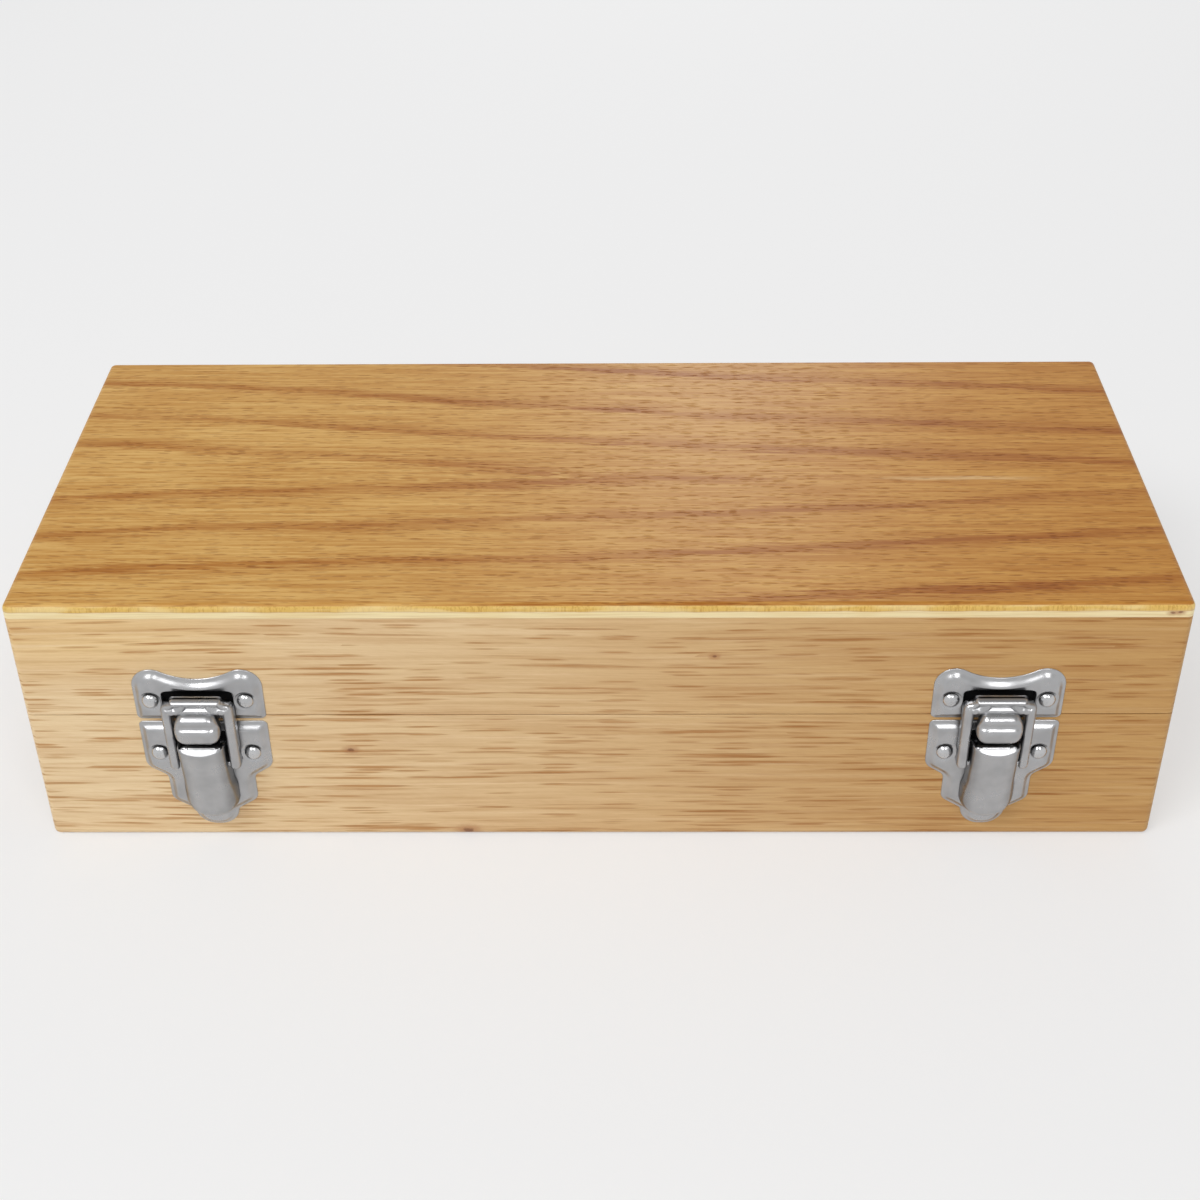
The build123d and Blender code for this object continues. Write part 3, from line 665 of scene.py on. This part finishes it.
def plate_grid(centre, outline, window, screws, rays=420, rows=46):
    """A pressed plate round its window: rays run from the window's edge to the outline, which is every ray's
    end. The window is a rounded rectangle, as a superellipse. The face is level, falls in a soft shoulder and
    then a round over the rim, rounds down into the window, and dips under each screw."""
    rim_line = evenly(outline, rays)
    low, high, half_width = window
    heart = np.array([0.0, (low + high) / 2])
    ray = rim_line - heart
    turn = np.arctan2(ray[:, 1], ray[:, 0])
    wide = (np.abs(np.cos(turn)) / half_width) ** window_power
    tall = (np.abs(np.sin(turn)) / ((high - low) / 2)) ** window_power
    reach = (wide + tall) ** (-1 / window_power)
    inner_line = heart + np.stack([np.cos(turn), np.sin(turn)], -1) * reach[:, None]
    share = (1 - np.cos(np.linspace(0.0, math.pi, rows))) / 2
    spots = inner_line + (rim_line - inner_line) * share[:, None, None]
    near = np.maximum(rim - distance_to(spots, rim_line), 0.0) / rim
    fall = field_rise * smooth(near, 0.0, field_end)
    fall = fall + edge_drop * (1 - np.sqrt(np.maximum(1 - near**edge_power, 0.0)))
    to_window = np.hypot(*np.moveaxis(spots - inner_line, -1, 0))
    inside = np.maximum(window_round - to_window, 0.0)
    fall = fall + window_round - np.sqrt(np.maximum(window_round**2 - inside**2, 0.0))
    for across, up in screws:
        away = np.hypot(spots[..., 0] - across, spots[..., 1] - up)
        fall = fall + seat_dip * smooth(away, seat_radius + 0.35, seat_radius - 0.25)
    grid = at_latch(centre, spots[..., 0], plate_thick - fall, spots[..., 1])
    backs = [at_latch(centre, line[:, 0], 0.02, line[:, 1])[None] for line in (inner_line, rim_line)]
    return np.vstack([backs[0], grid, backs[1]]), True, True


def painted_shadow_grid(centre, window):
    """A near-black sheet behind a plate's window, just clear of the wood, standing in for the shade there:
    painted shadow. It is a thin ring of four faces.
    """
    low, high, half_width = window
    across = np.array([-half_width, half_width])[None]
    out = np.array([0.3, 0.3, 0.05, 0.05])[:, None]
    up = np.array([low, high, high, low])[:, None]
    return at_latch(centre, across, out, up), True, False


def catch_grid(centre):
    """The catch on the lid's plate: a strip of sheet, which is a rounded rectangle carried out along a path
    and then up, and closed at both ends."""
    half, sheet, edge = 5.5, 1.2, 0.3
    path = np.array([(1.0, 0.8), (2.4, 0.8), (2.85, 0.95), (3.0, 1.4), (3.0, 3.4)])
    forward = np.gradient(path, axis=0)
    forward = forward / np.hypot(*forward.T)[:, None]
    normal = np.stack([forward[:, 1], -forward[:, 0]], -1)
    corners = [(-half, -sheet / 2), (half, -sheet / 2), (half, sheet / 2), (-half, sheet / 2)]
    section = rounded([(*corner, edge) for corner in corners])
    out = path[:, :1] + normal[:, :1] * section[:, 1]
    up = path[:, 1:] + normal[:, 1:] * section[:, 1]
    grid = at_latch(centre, section[:, 0], out, up)
    return closed_ends(grid), False, True


def closed_ends(grid):
    """The grid with a row before its first and after its last, each shrunk to that row's middle."""
    ends = [np.repeat(grid[row].mean(0)[None, None], grid.shape[1], 1) for row in (0, -1)]
    return np.vstack([ends[0], grid, ends[1]])


def screw_grid(centre, across, up, seat, head, rise, shank, length_mm):
    """A turned screw: a dome with a shallow worn cross in it, a shank and a point. Each row is a circle."""
    turn = np.radians(np.linspace(0, 360, 72, endpoint=False))
    ball = (head**2 + rise**2) / (2 * rise)
    radius = head * np.sin(np.linspace(0, math.pi / 2, 22))
    dome = np.sqrt(ball**2 - radius**2) - (ball - rise)
    x = radius[:, None] * np.cos(turn)
    y = radius[:, None] * np.sin(turn)
    arm = head * 0.42
    bar = lambda u, v: smooth(np.abs(u), 0.34, 0.10) * smooth(np.abs(v), arm, arm * 0.6)
    out = seat + dome[:, None] - 0.14 * np.maximum(bar(x, y), bar(y, x))
    tip = seat - length_mm
    shaft = [(head, seat - 0.02), (shank, seat - 0.04), (shank, tip + shank), (0.0, tip)]
    for ring, level in shaft:
        x = np.vstack([x, ring * np.cos(turn)[None]])
        y = np.vstack([y, ring * np.sin(turn)[None]])
        out = np.vstack([out, np.full((1, len(turn)), level)])
    return at_latch(centre, across + x, out, up + y), False, True


def quarter_round(up, end, height):
    """From 0 at end to 1 a height above it, along a quarter of an ellipse."""
    return np.sqrt(np.maximum(1 - np.clip((end + height - up) / height, 0.0, 1.0) ** 2, 0.0))


def bend(first, middle, last, share):
    """The parabola that leaves first towards middle and comes from there to last."""
    return first * (1 - share) ** 2 + middle * 2 * share * (1 - share) + last * share**2


def lever_grid(centre):
    """The lever's outside, one section for each height. A section is a wall that leans in from the foot, a
    well rounded edge, the crown of a circle across the face, and the same again. The face falls in a straight
    line to the tail, under a bevel at the top. The foot flares, and both close in a round at the tail."""
    top, bevel_end, tail, back_out = -6.1, -10.0, -36.6, 2.35
    face_half, foot_half, flare_half, crown = 6.8, 7.3, 8.2, 15.0
    flare_start, flare_end = -20.8, -25.6
    tail_out, brow_out, face_length = 6.0, 10.4, 29.9
    bevel_out, bevel_slope = 8.6, 0.95
    tail_round, face_round, face_end, tuck_height = 7.4, 6.5, tail + 0.9, 4.0
    neck, neck_height, neck_out = -7.4, 2.4, 5.5
    up = np.concatenate([
        np.linspace(top, bevel_end, 26, endpoint=False),
        np.linspace(bevel_end, tail + tail_round, 34, endpoint=False),
        tail + tail_round - tail_round * np.sin(np.linspace(0, math.pi / 2, 34)),
    ])[:, None]
    foot = foot_half + (flare_half - foot_half) * smooth(up, flare_start, flare_end)
    foot = foot * (quarter_round(up, tail, tail_round) + 1e-5)
    widening = 0.15 * smooth(up, -9.0, -27.0)
    shut = quarter_round(up, face_end, face_round)
    face = np.minimum((face_half + widening) * shut, foot) + 1e-5
    fall = tail_out + (brow_out - tail_out) * (up - tail) / face_length
    fall = back_out + (fall - back_out) * quarter_round(up, tail, tuck_height)
    bevel = bevel_out + (top - up) * bevel_slope
    arch = lambda across: crown - np.sqrt(crown**2 - across**2)
    edge_round = np.minimum(1.6, face * 0.45)
    across = np.linspace(-1, 1, 33)[None] * (face - edge_round)
    gap = np.clip(0.5 + (bevel - (fall - arch(across))) / 0.5, 0.0, 1.0)
    front = bevel + (fall - arch(across) - bevel) * gap - 0.25 * gap * (1 - gap)
    edge_out = np.maximum(np.minimum(bevel, fall - arch(face)), back_out)
    back = np.where(up > neck, back_out + (up - neck) / neck_height * neck_out, back_out)
    lean = (foot - face) / np.maximum(edge_out - back_out, 0.05)
    foot = face + lean * np.maximum(edge_out - back, 0.0)
    wall = np.hypot(foot - face, edge_out - back) + 1e-5
    reach = np.minimum(edge_round / wall, 0.6)
    knee_across = face + (foot - face) * reach
    knee_out = edge_out + (back - edge_out) * reach
    turn = np.linspace(0.0, 1.0, 10)[None, 1:]
    share = np.linspace(0.0, 1.0, 7)[None, 1:]
    wall_across = knee_across + (foot - knee_across) * share
    wall_out = knee_out + (back - knee_out) * share
    side_across = np.hstack([bend(face - edge_round, face, knee_across, turn), wall_across])
    side_out = np.hstack([bend(front[:, -1:], edge_out, knee_out, turn), wall_out])
    out = np.hstack([side_out[:, ::-1], front, side_out])
    across = np.hstack([-side_across[:, ::-1], across, side_across])
    return at_latch(centre, across, out, np.broadcast_to(up, out.shape)), False, False


def bail_grid(centre):
    """The bail's frame: a section carried up one arm, over the crossbar and down the other. Its outer front
    edge is well rounded. Over the crossbar it is deeper, set further out, and pressed into two rolls: arches
    of a sine, with grooves where the sine is 0."""
    pivot_out, pivot_up = bail_pivot
    half, top, depth, arm_middle = 10.75, 10.2, 3.8, 1.6
    arm_corners = [(0.0, 2.3, 0.5), (0.0, 6.1, 2.0), (3.2, 6.1, 1.0), (3.2, 2.3, 0.4)]
    bar_corners = [(0.0, 3.9, 0.5), (0.0, 6.5, 1.4), (5.9, 6.5, 0.8), (5.9, 3.9, 0.4)]
    roll_depth, roll_width, roll_out = 1.25, 3.0, 5.0
    end = pivot_up - depth / 2 * np.sin(np.linspace(math.pi / 2, 0, 9))[:-1]
    foot = np.stack([np.full(len(end), -half), end], -1)
    arm = np.stack([np.full(20, -half), np.linspace(pivot_up, 3.2, 20)], -1)
    turns = [(0.0, -20.0, 0.1), (-half, -20.0, 0.1), (-half, 7.2, 2.4), (-8.0, 8.3, 1.2)]
    turns += [(-7.6, top, 1.2), (0.0, top, 0.1)]
    shoulder = rounded(turns)[48:120]  # its three arcs, of 24 points each
    bar = np.stack([np.linspace(-5.9, 0, 12), np.full(12, top)], -1)
    track = np.vstack([foot, arm, shoulder, bar])
    forward = np.gradient(track, axis=0)
    forward = forward / np.hypot(*forward.T)[:, None]
    inward = np.stack([forward[:, 1], -forward[:, 0]], -1)
    over = smooth(track[:, 1], 7.0, 9.6)
    arm_section, bar_section = (evenly(rounded(corners), 120) for corners in (arm_corners, bar_corners))
    pressed = roll_depth * (1 - np.abs(np.sin(math.pi * bar_section[:, 0] / roll_width)))
    bar_section[:, 1] -= np.where(bar_section[:, 1] > roll_out, pressed, 0.0)
    section = arm_section + (bar_section - arm_section) * over[:, None, None]
    shrink = np.ones(len(track))
    shrink[: len(foot)] = np.sqrt(np.maximum(1 - ((pivot_up - end) / (depth / 2)) ** 2, 0.0))
    out = pivot_out + (section[..., 1] - pivot_out) * shrink[:, None]
    middle = arm_middle + (section[..., :1] - arm_middle) * shrink[:, None, None]
    spots = track[:, None] + inward[:, None] * middle
    mirrored = spots[-2::-1] * np.array([-1.0, 1.0])
    across = np.concatenate([spots[..., 0], mirrored[..., 0]])
    up = np.concatenate([spots[..., 1], mirrored[..., 1]])
    out = np.concatenate([out, out[-2::-1]])
    return at_latch(centre, across, out, up), False, True


def claw_grid(centre):
    """The claw: a full pillow under the crossbar. Its section is a softened outline that bows forwards. It is
    carried across the latch with a barrel's sides, and shrinks along an ellipse towards both, where it
    closes."""
    half, side_round, fullness = 6.8, 3.7, 2.4
    barrel_share, barrel_up, barrel_height = 0.05, -0.6, 5.0
    upper = [(4.5, 5.6, 0.5), (7.2, 5.8, 0.9), (9.4, 4.2, 1.2), (8.8, 2.2, 0.5)]
    lower = [(10.3, 1.0, 1.4), (9.9, -3.1, 2.6), (8.4, -4.3, 1.0), (4.5, -3.3, 0.5)]
    outline = softened(evenly(rounded(upper + lower), 150), 4)
    heart = np.array([6.4, 0.6])
    across = half * np.sin(np.linspace(-math.pi / 2, math.pi / 2, 61))[:, None]
    near = np.clip((np.abs(across) - (half - side_round)) / side_round, 0.0, 1.0)
    kept = (1 - (0.97 * near) ** fullness) ** (1 / fullness)
    out = heart[0] + (outline[:, 0] - heart[0]) * kept
    up = heart[1] + (outline[:, 1] - heart[1]) * kept**0.8
    barrel = 1 - barrel_share * ((outline[:, 1] - barrel_up) / barrel_height) ** 2
    return closed_ends(at_latch(centre, across * barrel, out, up)), False, True


def thicken(piece, sheet):
    """Gives an open surface its wall, on its inner side."""
    wall = piece.modifiers.new("wall", "SOLIDIFY")
    wall.thickness = sheet * MM
    wall.offset = -1.0
    wall.use_even_offset = True
    wall.use_rim = True
    return piece


# Lining

# The microphone's room in the foam, in millimetres: places along the box and the room's radius there
ROOM_X = (-112.0, -111.0, 19.0, 27.0, 89.0)
ROOM_RADIUS = (0.0, 28.0, 28.0, 31.0, 31.0)
ROOM_NOSE = 22.0
WELL_X, WELL_Y, WELL_RADIUS, WELL_DEPTH = -46.0, 28.0, 15.3, 22.0


def lining_grid(low, high, room_up, lip):
    """A foam block with the microphone's half sunk in it: the face's depth is the height of the room's circle
    at each place, the finger wells are straight, and the block's edges are softened."""
    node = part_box("base_foam")
    half_x = node[1][0] / MM
    half_y = node[1][1] / MM
    axis = pivots["lid_hinge"][2] / MM
    x = np.linspace(-half_x, half_x, 300)
    y = np.linspace(-half_y, half_y, 124)
    x, y = np.meshgrid(x, y, indexing="ij")
    radius = np.interp(x, ROOM_X, ROOM_RADIUS)
    nose = np.clip((x - ROOM_X[-1]) / ROOM_NOSE, 0.0, 1.0)
    radius = np.where(x > ROOM_X[-1], ROOM_RADIUS[-1] * np.sqrt(1 - nose**2), radius)
    hollow = np.sqrt(np.maximum(radius**2 - y**2, 0.0))
    face, floor = (high, low) if room_up else (low, high)
    depth = np.maximum(hollow - abs(axis - face), 0.0)
    if room_up:
        for well_y in (-WELL_Y, WELL_Y):
            away = np.hypot(x - WELL_X, y - well_y)
            depth = np.maximum(depth, WELL_DEPTH * smooth(away, WELL_RADIUS, WELL_RADIUS - 1.0))
    depth = depth * smooth(depth, -0.01, lip * 2.2)
    edge = np.minimum(half_x - np.abs(x), half_y - np.abs(y))
    crown = lip * 0.6 * (1 - smooth(edge, 0.0, lip * 1.4))
    level = face - (depth + crown) if room_up else face + depth + crown
    return np.stack([x, y, level], -1), np.stack([x, y, np.full_like(x, floor)], -1)


def block_grids(top, floor):
    """Closes a face and a floor of one grid with four walls."""
    walls = []
    for edge in (np.s_[0], np.s_[-1]):
        walls.append((np.linspace(top[edge], floor[edge], 8), False, False))
        walls.append((np.linspace(top[:, edge], floor[:, edge], 8), False, False))
    return [(top, False, False), (floor, False, False), *walls]


# Operators


class BOX_OT_stage(bpy.types.Operator):
    """Sets the floor, the lamps, the even light and the camera"""

    bl_idname = "box.stage"
    bl_label = "Stage"

    def execute(self, context):
        stage = context.scene.box_stage
        bpy.ops.mesh.primitive_plane_add(size=stage.floor_size, location=(0.0, 0.0, -FLOOR_DROP))
        floor = context.active_object
        floor.name = "floor"
        floor.data.materials.append(self.floor_material(stage))
        for name, (place, size) in LAMPS.items():
            self.lamp(name, place, size, getattr(stage, name))
        context.scene.world = self.sky(stage)
        self.camera(context.scene, stage)
        context.scene.view_settings.view_transform = "Standard"
        return {"FINISHED"}

    def floor_material(self, stage):
        """A pale matt floor. What the camera, gloss and glass see of it is partly even, so that it stays pale
        all over and keeps the shadow."""
        graph = Graph("floor")
        matt = graph.node("BsdfPrincipled", Base_Color=stage.floor, Roughness=0.9, Specular_IOR_Level=0.1)
        even = graph.node("Emission", stage.backdrop, 1.0)
        graph.node("OutputMaterial", graph.node("MixShader", graph.seen() * EVEN_SHARE, matt, even))
        return graph.owner

    def lamp(self, name, place, size, power):
        data = bpy.data.lights.new(name, "AREA")
        data.shape = "RECTANGLE"
        data.size, data.size_y = size
        data.energy = power
        lamp = bpy.data.objects.new(name, data)
        lamp.location = place
        lamp.rotation_euler = (Vector(LAMPS_AIM) - lamp.location).to_track_quat("-Z", "Y").to_euler()
        bpy.context.scene.collection.objects.link(lamp)

    def sky(self, stage):
        """Even light, and what the camera, gloss and glass see: a backdrop that is pale up to where a tall
        screen would end, and darker overhead."""
        graph = Graph("sky", "worlds")
        height = graph.node("SeparateXYZ", graph.node("TexCoord"), out=2)
        light = graph.node("Background", Strength=stage.sky)
        backdrop = graph.node("Background", stage.backdrop, height.step(*BACKDROP_FADE))
        graph.node("OutputWorld", graph.node("MixShader", graph.seen(), light, backdrop))
        return graph.owner

    def camera(self, scene, stage):
        """The photograph's view: pitch down, a little yaw and a little roll."""
        pitch, yaw, roll = (math.radians(angle) for angle in CAMERA_TURN)
        ahead = Vector((math.sin(yaw) * math.cos(pitch), math.cos(yaw) * math.cos(pitch), -math.sin(pitch)))
        right = Vector((math.cos(yaw), -math.sin(yaw), 0.0))
        over = right.cross(ahead)
        x_axis = right * math.cos(roll) + over * math.sin(roll)
        y_axis = over * math.cos(roll) - right * math.sin(roll)
        data = bpy.data.cameras.new("camera")
        data.sensor_fit = "HORIZONTAL"
        data.sensor_width = SENSOR_WIDTH
        data.lens = stage.lens
        data.clip_start = 0.01
        camera = bpy.data.objects.new("camera", data)
        turned = Matrix((x_axis, y_axis, -ahead)).transposed().to_4x4()
        camera.matrix_world = Matrix.Translation(CAMERA_PLACE) @ turned
        scene.collection.objects.link(camera)
        scene.camera = camera


def give(names, material):
    """Finishes CAD nodes that are kept."""
    for name in names:
        node = frame["nodes"][name]
        node.data.materials.clear()
        node.data.materials.append(material)


class BOX_OT_boards(bpy.types.Operator):
    """Finishes the frame boards, the lid's panel and the bottom panel"""

    bl_idname = "box.boards"
    bl_label = "Boards"

    def execute(self, context):
        oak = context.scene.box_oak
        ply = context.scene.box_ply
        lengthways = oak_board(oak, "oak along the box", "x")
        crossways = oak_board(oak, "oak across the box", "y")
        give(("base_front", "base_back", "lid_front", "lid_back"), lengthways)
        give(("base_left", "base_right", "lid_left", "lid_right"), crossways)
        give(("lid_top",), oak_panel(oak, ply))
        give(("base_bottom",), birch_panel(ply))
        return {"FINISHED"}


class BOX_OT_hinges(bpy.types.Operator):
    """Finishes the hinges at the back and their screws, and the pins of the latches"""

    bl_idname = "box.hinges"
    bl_label = "Hinges and pins"

    def execute(self, context):
        metal = context.scene.box_metal
        nickel = plated("nickel of the hinges", metal.nickel, metal.roughness)
        steel = plated("steel of pins", metal.steel, metal.roughness)
        for side in sides:
            give((f"hinge_leaf_base_{side}", f"hinge_leaf_lid_{side}"), nickel)
            give((f"hinge_pin_{side}", f"lever_pin_{side}", f"bail_pin_{side}"), steel)
        give(("hinge_screws_base", "hinge_screws_lid"), steel)
        return {"FINISHED"}


class BOX_OT_latches(bpy.types.Operator):
    """Makes both latches: plates, catch, lever, bail with its claw, and their screws"""

    bl_idname = "box.latches"
    bl_label = "Latches"

    def execute(self, context):
        metal = context.scene.box_metal
        nickel = plated("nickel", metal.nickel, metal.roughness)
        steel = plated("steel of screws", metal.steel, metal.roughness * 0.8)
        levers = plated("nickel of the levers", metal.nickel, metal.roughness, lever_painted_shade)
        bails = plated("nickel of the bails", metal.nickel, metal.roughness, bail_painted_shade)
        # Near-black plating for the sheets behind the windows: painted shadow
        dark = plated("shadowed nickel", tuple(0.05 * part for part in metal.nickel), 0.7)
        screws = {"strike_screws": [], "keeper_screws": []}
        for side in sides:
            centre = latch_middle(side)
            self.plates(side, centre, nickel, dark)
            self.movers(side, centre, levers, bails)
            for name, height in (("strike_screws", strike_screw_up), ("keeper_screws", keeper_screw_up)):
                for across, up in screw_places(height):
                    screws[name].append(screw_grid(centre, across, up, **latch_screw))
        make_piece("strike_heads", screws["strike_screws"], steel, "lid", ["strike_screws"])
        make_piece("keeper_heads", screws["keeper_screws"], steel, "base", ["keeper_screws"])
        return {"FINISHED"}

    def plates(self, side, centre, nickel, dark):
        ears = [self.ear(centre, turn) for turn in (-1, 1)]
        for kind, body, outline, window, height, added in (
            ("strike", "lid", strike_outline(), strike_window, strike_screw_up, [catch_grid(centre)]),
            ("keeper", "base", keeper_outline(), keeper_window, keeper_screw_up, ears),
        ):
            nodes = [f"{kind}_plate_{side}"]
            plate = plate_grid(centre, outline, window, screw_places(height))
            make_piece(f"{kind}_{side}", [plate, *added], nickel, body, nodes)
            # A near-black sheet behind the window: painted shadow
            make_piece(f"{kind}_pocket_{side}", [painted_shadow_grid(centre, window)], dark, body, nodes)

    def ear(self, centre, turn):
        """An ear of the keeper plate: a rounded tongue that stands out of the window beside the lever's
        wall."""
        corners = [(0.2, -12.2, 0.3), (7.5, -10.2, 1.8), (7.5, -6.6, 1.8), (0.2, -8.2, 0.3)]
        outline = evenly(rounded(corners), 60)
        middle = outline.mean(0)
        rows = [(0.0, 4.0), (0.92, 4.0), (1.0, 4.08), (1.0, 4.92), (0.92, 5.0), (0.0, 5.0)]
        grid = []
        for share, across in rows:
            loop = middle + (outline - middle) * share
            grid.append(at_latch(centre, np.full(len(loop), turn * across), loop[:, 0], loop[:, 1]))
        return np.array(grid), False, True

    def movers(self, side, centre, levers, bails):
        lever, bail = f"lever_{side}", f"bail_{side}"
        shell = make_piece(f"lever_shell_{side}", [lever_grid(centre)], levers, lever, [lever])
        thicken(shell, lever_sheet)
        make_piece(f"bail_frame_{side}", [bail_grid(centre)], bails, bail, [bail])
        make_piece(f"claw_{side}", [claw_grid(centre)], bails, bail, [bail])


class BOX_OT_lining(bpy.types.Operator):
    """Makes the foam in both halves, with the room for the microphone"""

    bl_idname = "box.lining"
    bl_label = "Lining"

    def execute(self, context):
        lining = context.scene.box_lining
        foam = foam_material(lining)
        for node, body, room_up in (("base_foam", "base", True), ("lid_foam", "lid", False)):
            low, high = (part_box(node)[end][2] / MM for end in (0, 1))
            grids = block_grids(*lining_grid(low, high, room_up, lining.lip))
            piece = make_piece(node.replace("foam", "lining"), grids, foam, body, [node], sharp=60.0)
        return {"FINISHED"}


class BOX_PT_panel(bpy.types.Panel):
    """Shows the settings and the buttons that make the pieces, in the sidebar"""

    bl_label = "Microphone box"
    bl_idname = "BOX_PT_panel"
    bl_space_type = "VIEW_3D"
    bl_region_type = "UI"
    bl_category = "Box"

    def draw(self, context):
        for group in settings:
            part = getattr(context.scene, group)
            self.layout.label(text=group.replace("box_", "").capitalize())
            for key in part.__annotations__:
                self.layout.prop(part, key)
        for operator in operators:
            self.layout.operator(operator.bl_idname)


settings = {
    "box_oak": OakSettings,
    "box_ply": PlySettings,
    "box_metal": MetalSettings,
    "box_lining": LiningSettings,
    "box_stage": StageSettings,
}
operators = (BOX_OT_stage, BOX_OT_boards, BOX_OT_hinges, BOX_OT_latches, BOX_OT_lining)


def register():
    for kind in (*settings.values(), *operators, BOX_PT_panel):
        bpy.utils.register_class(kind)
    for name, kind in settings.items():
        setattr(bpy.types.Scene, name, PointerProperty(type=kind))


def unregister():
    for name in settings:
        delattr(bpy.types.Scene, name)
    for kind in (BOX_PT_panel, *reversed(operators), *settings.values()):
        bpy.utils.unregister_class(kind)


def main():
    register()
    bpy.ops.box.stage()
    bpy.ops.box.boards()
    bpy.ops.box.hinges()
    bpy.ops.box.latches()
    bpy.ops.box.lining()


if __name__ == "__main__":
    main()
